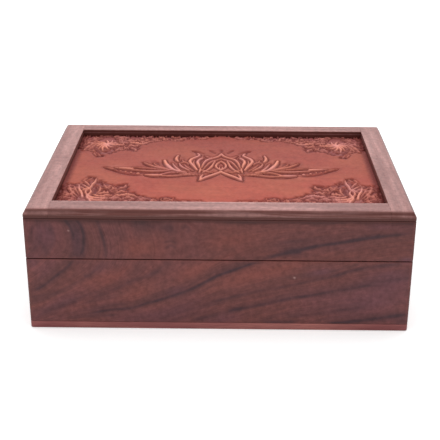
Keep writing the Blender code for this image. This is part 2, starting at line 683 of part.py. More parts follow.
def add_lining_strip(name, low, high, pivot):
    """A strip of cloth-covered card that lines one wall."""
    middle = (Vector(low) + Vector(high)) / 2
    mesh = block_mesh(name, Vector(low) - middle, Vector(high) - middle)
    strip = add_object(name, mesh, "velvet", middle, pivot=pivot)
    soft = strip.modifiers.new("soft_edge", "BEVEL")
    soft.width = LINING_SOFT_EDGE
    soft.segments = LINING_SOFT_STEPS


def add_pad(name, foot, away, pivot):
    """A cloth-covered pad between the strips. Its soft face looks up, or down where away is -1."""
    inset = WALL_THICKNESS + LINING_PLAY + LINING_THICKNESS + LINING_PLAY
    half_x, half_y = BOX_WIDTH / 2 - inset, BOX_DEPTH / 2 - inset
    levels = [(half_x, half_y, 0)]
    for step in range(PAD_SOFT_STEPS + 1):
        angle = step / PAD_SOFT_STEPS * math.pi / 2
        inward = PAD_SOFT_EDGE * (1 - math.cos(angle))
        height = PAD_THICKNESS - PAD_SOFT_EDGE * (1 - math.sin(angle))
        levels.append((half_x - inward, half_y - inward, height))
    levels = [(x, y, away * z) for x, y, z in levels]
    add_object(name, stacked_mesh(name, levels), "velvet", (0, 0, foot), pivot=pivot)


def add_lining(prefix, low_z, high_z, pad_name, pad_foot, away, pivot=None):
    """Four strips round one half and the pad on its floor or ceiling."""
    outer = WALL_THICKNESS + LINING_PLAY
    half_x, half_y = BOX_WIDTH / 2 - outer, BOX_DEPTH / 2 - outer
    inner_x, inner_y = half_x - LINING_THICKNESS, half_y - LINING_THICKNESS
    side_y = inner_y - LINING_PLAY
    strips = {
        "front": ((-half_x, -half_y), (half_x, -inner_y)),
        "back": ((-half_x, inner_y), (half_x, half_y)),
        "left": ((-half_x, -side_y), (-inner_x, side_y)),
        "right": ((inner_x, -side_y), (half_x, side_y)),
    }
    for side, (low, high) in strips.items():
        add_lining_strip(f"{prefix}_{side}_lining", (*low, low_z), (*high, high_z), pivot)
    add_pad(pad_name, pad_foot, away, pivot)


def main():
    clear_scene()
    pivot = bpy.data.objects.new("lid_pivot", None)
    bpy.context.scene.collection.objects.link(pivot)
    pivot.location = HINGE_AXIS

    groove = groove_cutter()
    corners = corner_cutters()
    cutters = {side: [post for place, post in corners.items() if side in place] for side in SIDES}
    for side in ("left", "right", "back"):
        cutters[side].append(groove)
    cutters["back"] += mortise_cutters()

    add_base(corners)
    add_walls("tray", wall_section(WALL_FOOT, TRAY_RIM), cutters)
    add_walls("lid", wall_section(LID_RIM, WALL_TOP, REBATE_LEDGE), cutters, pivot)
    add_rails(pivot, corners)
    add_panel(pivot)

    tray_floor = BASE_THICKNESS + LINING_PLAY
    add_lining("tray", tray_floor, TRAY_RIM - LINING_BELOW_RIM, "tray_floor_pad", tray_floor, 1)
    lid_ceiling = PANEL_UNDERSIDE - LINING_PLAY
    add_lining("lid", LID_RIM + LINING_BELOW_RIM, lid_ceiling, "lid_ceiling_pad", lid_ceiling, -1, pivot)
    add_hinges(pivot)


main()
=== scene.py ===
"""A hinged tarot card box in rosewood with a carved panel in its lid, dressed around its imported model.

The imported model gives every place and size. Each board, rail, pad and carved surface here is a grid or a
swept profile worked out as whole arrays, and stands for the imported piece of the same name.
Lengths are in metres. X runs across the front, Y from front to back and Z up.
"""

import json
import math

import bpy
import numpy as np
from bpy.props import FloatProperty, FloatVectorProperty, PointerProperty
from mathutils import Matrix, Vector


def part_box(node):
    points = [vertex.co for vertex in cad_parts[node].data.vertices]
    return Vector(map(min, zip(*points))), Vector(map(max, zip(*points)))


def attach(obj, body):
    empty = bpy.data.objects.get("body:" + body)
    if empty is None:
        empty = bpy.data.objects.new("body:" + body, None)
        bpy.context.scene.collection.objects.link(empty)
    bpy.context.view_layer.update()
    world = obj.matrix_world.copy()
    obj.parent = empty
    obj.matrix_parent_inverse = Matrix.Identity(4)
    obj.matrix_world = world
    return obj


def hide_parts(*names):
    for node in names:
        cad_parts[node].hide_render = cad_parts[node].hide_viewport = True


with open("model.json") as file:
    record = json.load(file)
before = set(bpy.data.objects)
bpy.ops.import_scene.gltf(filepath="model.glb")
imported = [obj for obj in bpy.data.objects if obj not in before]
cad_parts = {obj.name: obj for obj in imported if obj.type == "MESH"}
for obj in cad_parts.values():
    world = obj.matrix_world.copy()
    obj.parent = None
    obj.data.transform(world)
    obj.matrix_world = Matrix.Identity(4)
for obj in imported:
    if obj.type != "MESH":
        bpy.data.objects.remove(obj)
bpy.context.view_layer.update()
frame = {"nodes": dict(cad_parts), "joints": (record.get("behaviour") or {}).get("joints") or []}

bl_info = {
    "name": "Tarot card box",
    "version": (1, 0, 0),
    "blender": (4, 5, 0),
    "location": "3D View > Sidebar > Card Box",
    "description": "Builds a hinged rosewood card box with a carved lid panel",
    "category": "Add Mesh",
}

MM = 0.001


def corners_of(node):
    """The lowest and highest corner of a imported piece, as two arrays."""
    low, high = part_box(node)
    return np.array(low), np.array(high)


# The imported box
HALF_WIDTH, HALF_DEPTH, BASE_TOP = corners_of("base_board")[1]
TRAY_FOOT, TRAY_RIM = (corner[2] for corner in corners_of("tray_left_wall"))
LID_RIM, LID_WALL_TOP = (corner[2] for corner in corners_of("lid_left_wall"))
SEAM_HEIGHT = (TRAY_RIM + LID_RIM) / 2
WALL_THICKNESS = corners_of("lid_right_wall")[1][0] - corners_of("lid_right_wall")[0][0]
RAIL_FOOT, BOX_TOP = (corner[2] for corner in corners_of("lid_front_rail"))
PANEL_LOW, PANEL_HIGH = corners_of("carved_panel")
OPENING_HALF_WIDTH = corners_of("lid_right_rail")[0][0]
OPENING_HALF_DEPTH = corners_of("lid_back_rail")[0][1]
HINGE_AXIS = np.array(frame["joints"][0]["pos_m"], float)
STOP_OPENING = math.radians(frame["joints"][0]["range_deg"][1])

# How the boards are cut
SIDES = {
    "front": ((1, 0), (0, -1)),
    "right": ((0, 1), (1, 0)),
    "back": ((-1, 0), (0, 1)),
    "left": ((0, -1), (-1, 0)),
}
REBATE_WIDTH = 3 * MM
BASE_FOOT_ROUND = 0.7 * MM
PANEL_RECESS = 3.2 * MM  # from the rails' tops down to the panel's plain field
PANEL_PLAY = 0.15 * MM  # the room between the panel's field and the frame
PANEL_GRID = (377, 253)  # points of the carving along X and Y
PANEL_SHARP_ANGLE = math.radians(75)
MITRE_RUN = 0.4 * MM  # the stretch at a board's end where its deep points close up on the mitre
ARC_STEPS = 5  # the steps of a rounded corner
ARC_POINTS = 8  # the points of an edge's quarter circle
POINT_GAP = 1.5 * MM  # the widest gap between points on a board
FIGURE_GAP = 0.45 * MM  # the same on the front boards, whose points hold their figure
SHARP_ANGLE = math.radians(38)
REBATE_EASE = 0.1 * MM  # the radius of a rebate's corners
REBATE_PLAY = 0.3 * MM  # the room under the panel's tongue
GROOVE_PLAY = 0.02 * MM  # how far the back groove's faces stay apart at the stop
GROOVE_EASES = (0.15 * MM, 0.1 * MM)  # the radii of its edges on the back face and on the rim
GROOVE_REACH_BACK = 5 * MM  # how far its cutter reaches back from the line where its faces meet
CUTTER_EXCESS = 1 * MM  # how far a cutter reaches out of the wood
MORTISE_PLAY = 0.3 * MM  # the room round a hinge
MORTISE_BED = 1.4 * MM  # how far a hinge's bed is cut into each rim
BRASS_EASE = 0.12 * MM  # the bevel of the hinges' edges
INNER_EASES = (0.1 * MM, 0.35 * MM)  # the radii of a rail's inner edges, at its foot and its top
BUTT_EASES = (0.05 * MM, 0.15 * MM)  # the same of its butt ends
RAIL_CORNER = 0.1 * MM  # the radius of its upright corners inside the frame
RAIL_FOOT_SHARE = 0.4  # its outer foot is eased by this much of the joint's radius
LEVEL_STEP = 0.01 * MM  # a plank's rings are no closer than this
INNER_RING_SHARE = 0.2  # its last ring lies in from its top edge by no more than this share of its width
LEAST_CORNER_SHARE = 0.3  # its corners keep at least this share of their radius
EDGE_TURN = math.radians(4)  # a section turns more than this where it is an edge

# The top frame's outer edge, in shares of its run from the face: a round, a small step and a lip. Each
# point has its drop from the top and its inset from the face.
MOULDING_SHARES = (
    (0, 1), (0.022, 0.78), (0.10, 0.57), (0.25, 0.41), (0.42, 0.335), (0.54, 0.29), (0.64, 0.21),
    (0.73, 0.12), (0.85, 0.04), (1.0, 0),
)
MOULDING_STEP = 0.57  # the drop of the line over the lip, as a share too
MOULDING_POINTS = 40
INNER_LINE = 1.7 * MM  # how far down the frame's inner face, painted dark as shade, its painted lighter line of bounced light lies


def length(name, description, default, low, high):
    """A length setting, whose default and limits are given in millimetres."""
    values = {"default": default * MM, "min": low * MM, "max": high * MM}
    return FloatProperty(name=name, description=description, unit="LENGTH", **values)


class BoxSizes(bpy.types.PropertyGroup):
    """Small sizes of the finish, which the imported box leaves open."""

    arris: length("Upright corners", "Radius of the box's four upright corners", 1.2, 0.3, 3)
    seam_ease: length("Seam edges", "Radius of the edges on both sides of the opening seam", 0.3, 0.05, 1)
    joint_ease: length("Rail joint", "Radius of the edges between the top frame and the lid", 0.5, 0.05, 1)
    base_ease: length("Base joint", "Radius of the edges between the walls and the base board", 0.16, 0.05, 1)
    moulding: length("Top frame's moulding", "How far its moulded edge runs in from the outer face", 3, 1, 4)
    glue_line: length("Glue line", "Width of the closed joints between boards", 0.05, 0.01, 0.3)
    groove_depth: length("Carved grooves", "Depth of the carving's grooves", 0.75, 0.1, 2)
    ridge_height: length("Carved ridges", "Height of the carved ribs above the plain field", 0.3, 0.05, 1)
    ground_depth: length("Carved ground", "Depth of the ground behind the corner leaves", 0.55, 0.05, 2)


def colour(name, description, default):
    """A colour setting."""
    return FloatVectorProperty(
        name=name, description=description, default=default, size=3, min=0, max=1, subtype="COLOR"
    )


class BoxColours(bpy.types.PropertyGroup):
    """Colours of the woods, the cloth and the metal."""

    wall_light: colour("Wall, light", "Light bands of the walls", (0.255, 0.082, 0.070))
    wall_dark: colour("Wall, dark", "Dark bands of the walls", (0.120, 0.042, 0.042))
    wall_plum: colour("Wall, plum", "Purple patches of the walls", (0.165, 0.062, 0.078))
    wall_red: colour("Wall, red", "Red patches of the front boards", (0.275, 0.078, 0.062))
    # painted shade under the top frame and round the upright corners, with the dark joint lines at the seam
    # and the base
    wall_shade_and_joints: colour("Stain", "Darkened edges and joints of the walls", (0.045, 0.014, 0.013))
    streak: colour("Streaks", "Dark streaks in the front boards", (0.070, 0.030, 0.036))
    speck: colour("Specks", "Pale specks in the front boards", (0.550, 0.330, 0.300))
    rail_light: colour("Rail, light", "Light bands of the top frame", (0.440, 0.230, 0.212))
    rail_dark: colour("Rail, dark", "Dark bands of the top frame", (0.240, 0.112, 0.104))
    # painted shade on the moulding, the lip line, the foot and the inner face, mixed with dark veins
    rail_stain: colour("Rail, stain", "Dark veins and edges of the top frame", (0.100, 0.022, 0.016))
    base_light: colour("Base, light", "Light bands of the base board", (0.580, 0.215, 0.185))
    base_dark: colour("Base, dark", "Dark bands of the base board", (0.280, 0.080, 0.082))
    field: colour("Panel field", "The plain field of the carved panel", (0.335, 0.071, 0.052))
    field_pale: colour("Panel field, pale", "Paler patches of the field", (0.400, 0.094, 0.064))
    # painted shade: the field darker towards the back
    field_back_shade: colour("Panel field, far", "The field towards the back", (0.205, 0.052, 0.044))
    field_brown: colour("Panel field, brown", "Brown patches of the field", (0.320, 0.088, 0.056))
    # rubbed wood with a painted highlight on the carved ribs
    ridge: colour("Carved ridges", "Rubbed tops of the carved ribs", (0.730, 0.270, 0.190))
    ridge_pink: colour("Carved ridges, pink", "Pinker tops of the carved ribs", (0.660, 0.265, 0.235))
    # stain in the grooves, with painted shade round the carving and a painted shadow of the frame
    hollow: colour("Carved hollows", "Stained grooves of the carving", (0.120, 0.022, 0.020))
    ground: colour("Carved ground", "Stained ground of the corner leaves", (0.220, 0.063, 0.062))
    velvet: colour("Velvet", "Cloth of the lining", (0.034, 0.006, 0.010))
    brass: colour("Brass", "Metal of the hinges", (0.700, 0.480, 0.190))


# Meshes
def grid_quads(rows, columns, close_columns=False):
    """The quads of a grid of points, row after row. Closed columns join each row's end to its start."""
    row = np.arange(rows - 1)[:, None] * columns
    column = np.arange(columns if close_columns else columns - 1)[None, :]
    after = (column + 1) % columns
    corners = (row + column, row + after, row + columns + after, row + columns + column)
    return np.stack(corners, -1).reshape(-1, 4)


def volume_of(points, quads, caps):
    """The signed volume inside closed faces: a sum of the tetrahedra from the origin to each triangle."""
    triangles = [quads[:, [0, 1, 2]], quads[:, [0, 2, 3]]]
    for cap in caps:
        cap = np.asarray(cap)
        fan = np.stack([np.full(len(cap) - 2, cap[0]), cap[1:-1], cap[2:]], -1)
        triangles.append(fan)
    a, b, c = (points[np.concatenate(triangles)[:, corner]] for corner in range(3))
    return np.einsum("ij,ij->i", a, np.cross(b, c)).sum() / 6


def solid_mesh(name, points, quads, caps=(), layers=None, sharp=SHARP_ANGLE):
    """A closed mesh whose faces point outwards, with a value per point for each named layer."""
    points = np.asarray(points, float).reshape(-1, 3)
    quads = np.asarray(quads).reshape(-1, 4)
    caps = [np.asarray(cap) for cap in caps]
    if volume_of(points, quads, caps) < 0:
        quads = quads[:, ::-1]
        caps = [cap[::-1] for cap in caps]
    sizes = np.concatenate([np.full(len(quads), 4), [len(cap) for cap in caps]]).astype(np.int32)
    corners = np.concatenate([quads.ravel(), *caps]).astype(np.int32)
    mesh = bpy.data.meshes.new(name)
    mesh.vertices.add(len(points))
    mesh.vertices.foreach_set("co", points.astype(np.float32).ravel())
    mesh.loops.add(len(corners))
    mesh.loops.foreach_set("vertex_index", corners)
    mesh.polygons.add(len(sizes))
    mesh.polygons.foreach_set("loop_start", np.concatenate([[0], np.cumsum(sizes)[:-1]]).astype(np.int32))
    mesh.update(calc_edges=True)
    for layer, values in (layers or {}).items():
        values = np.asarray(values, np.float32)
        kind, field = ("FLOAT_VECTOR", "vector") if values.ndim == 2 else ("FLOAT", "value")
        mesh.attributes.new(layer, kind, "POINT").data.foreach_set(field, values.ravel())
    mesh.shade_smooth()
    mesh.set_sharp_from_angle(angle=sharp)
    if mesh.validate():
        raise RuntimeError(f"{name} has faces that had to be mended")
    return mesh


def add_object(name, data):
    """An object in the scene, which shows a mesh, a lamp or a camera."""
    obj = bpy.data.objects.new(name, data)
    bpy.context.scene.collection.objects.link(obj)
    return obj


def add_piece(node, mesh, finish, body):
    """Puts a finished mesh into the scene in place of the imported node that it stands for."""
    obj = add_object(f"{node}_finished", mesh)
    mesh.materials.append(finish)
    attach(obj, body)
    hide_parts(node)
    return obj


def turns(into, out):
    """The angles from some steps in a plane to others."""
    return np.arctan2(into[:, 0] * out[:, 1] - into[:, 1] * out[:, 0], (into * out).sum(1))


def eased_outline(corners, radii):
    """A closed outline whose corners are arcs.

    Each arc starts and ends its radius times the tangent of half the turn from its corner, and its points
    lie evenly by angle about a centre that is one radius in from the first side.
    """
    corners = np.asarray(corners, float)
    radii = np.asarray(radii, float)[:, None]
    into = corners - np.roll(corners, 1, 0)
    into /= np.linalg.norm(into, axis=1, keepdims=True)
    out = np.roll(into, -1, 0)
    turn = turns(into, out)[:, None]
    side = np.stack([-into[:, 1], into[:, 0]], -1) * np.sign(turn)
    start = corners - into * radii * np.tan(np.abs(turn) / 2)
    centre = start + side * radii
    angle = turn * np.linspace(0, 1, ARC_STEPS + 1)
    spoke = start - centre
    x = spoke[:, :1] * np.cos(angle) - spoke[:, 1:] * np.sin(angle)
    y = spoke[:, :1] * np.sin(angle) + spoke[:, 1:] * np.cos(angle)
    outline = (centre[:, None, :] + np.stack([x, y], -1)).reshape(-1, 2)
    gap = np.linalg.norm(outline - np.roll(outline, 1, 0), axis=1)
    return outline[gap > 0.001 * MM]


def subdivided(outline, outer_gap):
    """A closed outline with points shared out evenly along each side, no further apart than a gap, which
    is the outer one for sides on the outer face."""
    after = np.roll(outline, -1, 0)
    step = after - outline
    outer = (outline[:, 0] < outer_gap) & (after[:, 0] < outer_gap)
    gap = np.where(outer, outer_gap, POINT_GAP)
    counts = np.maximum(1, np.ceil(np.linalg.norm(step, axis=1) / gap)).astype(int)
    first = np.repeat(np.cumsum(counts) - counts, counts)
    share = (np.arange(counts.sum()) - first) / np.repeat(counts, counts)
    return np.repeat(outline, counts, 0) + np.repeat(step, counts, 0) * share[:, None]


def edge_points(outline):
    """One where a closed outline turns, and nought along its straight sides."""
    into = outline - np.roll(outline, 1, 0)
    out = np.roll(outline, -1, 0) - outline
    return (np.abs(turns(into, out)) > EDGE_TURN).astype(float)


def mitred_board(side, section, arris, glue_line, gap):
    """A wall of the box as rows of section points, and how much each point is on an edge.

    A section point has a depth behind the outer face and a height. Along the wall it keeps its depth.
    At each end, a point no deeper than the arris turns an eighth of a circle whose radius is the arris
    less the depth, and a deeper one runs on straight, so all of them end on the mitre at 45 degrees.
    """
    along, outward = (np.array(direction, float) for direction in SIDES[side])
    face, half_length = (HALF_DEPTH, HALF_WIDTH) if side in ("front", "back") else (HALF_WIDTH, HALF_DEPTH)
    half_length -= glue_line / 2
    depth, height = section.T
    shallow = depth < arris
    straight = np.where(shallow, half_length - arris, half_length - depth - MITRE_RUN)
    share = np.linspace(-1, 1, int(2 * half_length / gap))[:, None]
    turn = np.linspace(0, 1, ARC_STEPS + 1)[1:, None]
    angle = turn * math.pi / 4
    end_run = straight + np.where(shallow, (arris - depth) * np.sin(angle), MITRE_RUN * turn)
    end_depth = np.where(shallow, arris - (arris - depth) * np.cos(angle), depth)
    run = np.concatenate([-end_run[::-1], straight * share, end_run])
    sunk = np.concatenate([end_depth[::-1], np.broadcast_to(depth, (len(share), len(depth))), end_depth])
    plan = along * run[..., None] + outward * (face - sunk)[..., None]
    points = np.concatenate([plan, np.broadcast_to(height, run.shape)[..., None]], -1)
    on_end = np.concatenate([np.ones(ARC_STEPS + 1), np.zeros(len(share) - 2), np.ones(ARC_STEPS + 1)])
    worn = np.maximum(edge_points(section), on_end[:, None] * shallow)
    return points, worn


def swept_mesh(name, points, layers):
    """A solid from rows of section points, closed by a face over its first row and its last."""
    rows, columns = points.shape[:2]
    caps = [np.arange(columns)[::-1], (rows - 1) * columns + np.arange(columns)]
    flat = {layer: values.reshape(rows * columns, -1).squeeze() for layer, values in layers.items()}
    return solid_mesh(name, points, grid_quads(rows, columns, close_columns=True), caps, flat)


def arc(radius):
    """A quarter circle of an edge: drops are the radius less its cosine share, insets less its sine share."""
    turn = np.linspace(0, math.pi / 2, ARC_POINTS)
    return radius * np.stack([1 - np.cos(turn), 1 - np.sin(turn)], -1)


def plank_mesh(name, low, high, edges, corner_radii):
    """A board as rings of its plan outline, stacked from foot to top.

    Sides and corners go round from the low X side: low X, low Y, high X, high Y. Each side has the
    profiles of its foot and of its top edge, as rows of a drop from the board's end and an inset from
    its face, and at a given height it lies in by the inset between the two nearest rows. A corner's arc
    shrinks as its sides move in.
    """
    rows = [low[2] + foot[:, 0] for foot, _ in edges] + [high[2] - top[:, 0] for _, top in edges]
    heights = np.unique(np.round(np.concatenate(rows) / LEVEL_STEP)) * LEVEL_STEP
    heights = np.clip(heights, low[2], high[2])
    foot_inset = [np.interp(heights - low[2], *foot.T) for foot, _ in edges]
    top_inset = [np.interp(high[2] - heights, *top.T) for _, top in edges]
    inset = np.stack(foot_inset, -1) + np.stack(top_inset, -1)
    worn = (inset > 0).any(1) * 1.0
    narrow = min(high[0] - low[0], high[1] - low[1])
    inner = inset[-1] + min(POINT_GAP, INNER_RING_SHARE * narrow)
    inset = np.concatenate([inset, inner[None]])
    heights = np.append(heights, high[2])
    worn = np.append(worn, 0)
    west, south = low[0] + inset[:, 0], low[1] + inset[:, 1]
    east, north = high[0] - inset[:, 2], high[1] - inset[:, 3]
    corner_x = np.stack([west, east, east, west], -1)
    corner_y = np.stack([south, south, north, north], -1)
    beside = np.minimum(inset, np.roll(inset, -1, 1))
    corner_radii = np.asarray(corner_radii)
    radius = np.maximum(corner_radii - beside, LEAST_CORNER_SHARE * corner_radii)
    inward_x, inward_y = np.array([1, -1, -1, 1]), np.array([1, 1, -1, -1])
    start = np.array([math.pi, 1.5 * math.pi, 0, 0.5 * math.pi])
    angle = start[:, None] + np.linspace(0, math.pi / 2, ARC_STEPS + 1)
    x = (corner_x + inward_x * radius)[..., None] + radius[..., None] * np.cos(angle)
    y = (corner_y + inward_y * radius)[..., None] + radius[..., None] * np.sin(angle)
    plan = np.stack([x, y], -1).reshape(len(heights), -1, 2)
    tall = np.broadcast_to(heights[:, None, None], (*plan.shape[:2], 1))
    points = np.concatenate([plan, tall], -1)
    edge = np.broadcast_to(worn[:, None], plan.shape[:2])
    return swept_mesh(name, points, {"edge": edge})


def cut_away(obj, cutters):
    """Takes the cutters' shapes out of a piece, for good."""
    for cutter in cutters:
        modifier = obj.modifiers.new("cut", "BOOLEAN")
        modifier.operation = "DIFFERENCE"
        modifier.object = cutter
    bpy.context.view_layer.update()
    evaluated = obj.evaluated_get(bpy.context.evaluated_depsgraph_get())
    obj.data = bpy.data.meshes.new_from_object(evaluated)
    obj.modifiers.clear()
    obj.data.set_sharp_from_angle(angle=SHARP_ANGLE)


def cutter_from(name, outline, ends):
    """A solid to cut with: an outline of Y and Z, swept between two places on X."""
    rows = np.stack([np.insert(np.asarray(outline, float), 0, x, axis=1) for x in ends])
    return add_object(name, swept_mesh(name, rows, {}))


# Figure of the front boards, as seen from the front, in millimetres from the middle of the box's foot.
# A line of the grain has its level across the grain and its points.
GRAIN_LINES = (
    (0, ((-62, 7.5), (-50, 10), (-38, 12), (-28, 15.5), (-15, 20.5), (-5, 26), (5, 30.5), (13, 34),
         (24, 38.2), (35, 41.2), (50, 44.8), (68, 48), (89, 50.8))),
    (-10, ((-12, 11), (0, 15.5), (20, 20.8), (40, 25.5), (53, 28.5), (67, 32.8), (80, 35))),
    (-17, ((-14, 4), (0, 8), (15, 12.3), (34, 17), (53, 20.7), (68, 23.8), (85, 26))),
    (-26, ((22, 3.8), (44, 8.5), (60, 11.3), (72, 13), (89, 16))),
    (-33, ((50, 3.5), (65, 5), (80, 7.6), (89, 9))),
    (6, ((-84, 8), (-70, 13.5), (-55, 18), (-42, 24), (-31, 29.5), (-25, 35), (-22, 45), (-21, 58))),
    (14, ((-88, 13.5), (-76, 18.5), (-64, 25), (-57, 30), (-52.5, 37), (-51.5, 42), (-53, 50), (-56, 59))),
    (22, ((-87, 19.5), (-79.5, 24), (-73, 29.5), (-67, 34.5), (-62.5, 41), (-62, 47), (-65, 54),
          (-69, 60))),
    (30, ((-88, 33), (-80, 40), (-77, 48), (-79, 60))),
)
# A streak has its darkness, half its width, the reach of its shade above it, and its points.
FIGURE_STREAKS = (
    (0.75, 0.5, 2.0, ((-62, 7.5), (-56, 9), (-50, 10.1), (-43, 10.6), (-38, 12), (-33, 14), (-28, 15.3))),
    (0.95, 0.5, 2.8, ((-38, 12), (-28, 15.3), (-22, 17.5), (-15, 20.3), (-10, 22.8), (-5, 25.8), (0, 28.6),
                      (6, 31), (13, 33.8), (20, 36.4))),
    (0.45, 1.4, 1.0, ((0, 29.4), (6, 31.8), (13, 34.6), (20, 37))),
    (1.0, 0.6, 1.6, ((20, 37), (27, 39.2), (33, 40.8), (40, 42.6), (46, 44.1), (53, 45.2), (60, 46.6),
                     (68, 48), (76, 49.2), (89, 50.9))),
    (0.9, 1.3, 1.0, ((27, 39.8), (33, 41), (38, 41.6))),
    (0.8, 0.9, 1.0, ((62, 47.4), (68, 48.4), (74, 49.2))),
    (0.5, 0.5, 0.8, ((-8, 13), (0, 15.5), (10, 18.3), (20, 20.8), (30, 23), (40, 25.5), (46, 27.2),
                     (53, 28.5))),
    (0.65, 0.6, 1.2, ((48, 27.6), (56, 29.6), (60, 31.2), (67, 32.8), (75, 34.2), (83, 35.2))),
    (0.7, 0.6, 1.4, ((0, 8), (8, 10.8), (15, 12.3), (22, 14), (30, 16), (34, 17), (40, 18), (48, 19.5),
                     (53, 20.8), (60, 22), (68, 23.8), (77, 23.9))),
    (0.8, 0.7, 0.8, ((4, 9.6), (8, 10.8), (11, 11.4))),
    (0.7, 0.6, 0.8, ((18, 13), (22, 13.9), (26, 14.8))),
    (0.8, 0.7, 0.8, ((28, 15.6), (31, 16.3), (34, 17))),
    (0.8, 0.7, 0.8, ((47, 19.4), (50, 20.2), (54, 20.9))),
    (0.6, 0.6, 0.6, ((57, 21.6), (62, 22.3))),
    (0.5, 0.7, 1.0, ((30, 6.4), (36, 7.5), (44, 8.5), (52, 10), (60, 11.3), (70, 12.8))),
    (0.4, 0.6, 1.0, ((66, 24.2), (74, 26.2), (82, 27.4), (89, 28.6))),
    (1.0, 0.7, 1.2, ((50, 3.6), (58, 4.3), (65, 5.2), (72, 6.3), (80, 7.7), (89, 9))),
    (0.6, 0.8, 0.8, ((83, 5.2), (89, 5.4))),
    (0.65, 0.7, 0.8, ((20, 4.2), (28, 4.2), (36, 4.8))),
    (0.8, 0.6, 1.0, ((-70.5, 60), (-69.5, 56), (-67.5, 52.5), (-66.5, 49), (-66.3, 45))),
    (0.9, 0.6, 1.0, ((-66.5, 57), (-63, 53.4), (-61.8, 49), (-61.8, 45), (-62.3, 41), (-64, 37.6))),
    (0.5, 2.0, 1.0, ((-68.5, 58), (-65, 52), (-64, 46), (-64.4, 40), (-65.5, 37))),
    (0.7, 1.2, 0.6, ((-64, 53), (-62.3, 52.3))),
    (0.7, 0.6, 1.4, ((-66.5, 36), (-70, 32), (-73, 29.5), (-76, 27), (-79.5, 24), (-83, 21.5),
                     (-87, 19.5))),
    (0.6, 0.5, 1.2, ((-57, 59), (-55, 55.5), (-53.7, 50), (-52.5, 45), (-51.8, 40), (-52, 37))),
    (0.35, 0.6, 1.2, ((-53, 34), (-57, 30.5), (-60, 27.6), (-64, 25), (-70, 21.5), (-76, 18.5), (-82, 16),
                      (-88, 13.5))),
    (0.5, 0.9, 0.6, ((-62.5, 27), (-59, 27.8))),
    (0.4, 0.4, 0.6, ((-84.5, 53), (-85.3, 49), (-86.5, 44))),
    (0.4, 1.1, 0.6, ((-77.5, 52), (-77, 50), (-77.5, 48))),
    (0.35, 0.6, 1.0, ((-81, 45), (-79.5, 41), (-79.5, 37.5))),
    (0.5, 0.8, 1.4, ((-62, 14.5), (-55, 17.8), (-50, 20), (-44, 23), (-41, 24.8), (-36, 27), (-30, 29.5),
                     (-25, 33))),
    (0.5, 0.8, 0.6, ((-52, 19.3), (-48.5, 20.6))),
    (0.6, 0.9, 0.6, ((-43, 23.6), (-41, 24.9))),
    (0.35, 1.4, 0.6, ((-25.5, 33.6), (-22, 35))),
    (0.5, 0.6, 1.0, ((-84, 8), (-76, 11), (-70, 13.4), (-66, 14.5))),
    (0.4, 0.5, 1.0, ((-88, 16), (-80, 17.5), (-70, 21))),
    (0.45, 0.6, 1.0, ((-70, 5.5), (-62, 6.6), (-55, 7), (-48, 7))),
    (0.3, 0.5, 1.0, ((-30, 4.5), (-22, 8), (-14, 10.5), (-6, 12.8), (2, 14.5))),
    (0.6, 0.6, 1.0, ((-12, 4.8), (-5, 6.6), (0, 8))),
    (0.5, 1.7, 1.0, ((-40, 54.6), (-30, 53.6), (-20, 51.5))),
    (0.55, 0.8, 0.6, ((-31, 52.8), (-29, 52.8))),
    (0.5, 0.8, 0.6, ((-26, 52), (-24, 52))),
    (0.4, 0.5, 0.6, ((-17, 51.5), (-15, 53.2), (-13.6, 51.4), (-15, 50))),
    (0.4, 0.35, 0.6, ((-24.5, 42), (-22, 43.4), (-19.6, 42.2))),
    (0.35, 0.3, 0.6, ((-25, 45), (-22, 45.6), (-19, 44.6))),
)
# A tint has its middle, its half length and height, its slope, and how plum it is, or below nought how red.
FIGURE_TINTS = (
    (-79, 48, 8, 9, 0, 0.8), (-86, 34, 4, 4, 0.3, 0.6), (-64.5, 46, 3, 9, 0, 0.8), (-40, 7, 14, 4, 0.1, 0.5),
    (-20, 9, 14, 5, 0.3, 0.5), (-20, 20, 6, 2.5, 0.35, 0.6), (2, 6, 8, 3, 0.2, 0.6),
    (47, 30.5, 6, 2.2, 0.15, 0.7),
    (70, 16, 22, 9, 0.15, 0.7), (80, 27, 12, 7, 0.1, 0.6), (58, 42.5, 8, 2, 0.1, 0.4), (72, 54, 7, 2, 0, 0.6),
    (86, 37, 3, 1.5, 0, 1), (-55, 31, 5, 3, 0.3, 0.4), (-80, 31, 6, 4, 0.8, 0.5), (-72, 15, 8, 3, 0.3, 0.3),
    (-36, 42, 9, 5, 0, -0.9), (-52, 27, 12, 4, 0.3, -0.7), (-38, 20, 8, 4, 0.3, -0.5),
    (-12, 31, 10, 4, 0.4, -0.8),
    (12, 28, 12, 4, 0.3, -0.8), (30, 33, 10, 3, 0.3, -0.6), (6, 47, 16, 8, 0, -0.6),
    (-68, 12, 8, 3, 0.3, -0.3),
    (60, 40, 20, 3, 0.1, -0.4),
)
FIGURE_SPECKS = ((34.9, 27.6, 0.4), (-68.4, 50.4, 0.3))
FIGURE_SMOOTHING = 0.5
STREAK_SPREAD, STREAK_BLUR = 1.5, 0.2  # a streak's half width is this many times its own, plus this
STREAK_SHADE = 0.45  # how dark the shade above a streak is beside it
SHADE_RISE = 1.5  # the shade is full this far above its streak's level
STREAK_STRENGTH = 1.35
STREAK_WAVER = 0.18  # how much a streak's darkness comes and goes
STREAK_ENDS = (0.06, 6)  # how a streak thins out at its ends
STREAK_POINTS = 30


def bending(distance):
    """The thin plate's own curve: the distance squared times its logarithm."""
    squared = distance**2
    return np.where(squared > 0, squared * np.log(np.maximum(squared, 1e-12)) / 2, 0)


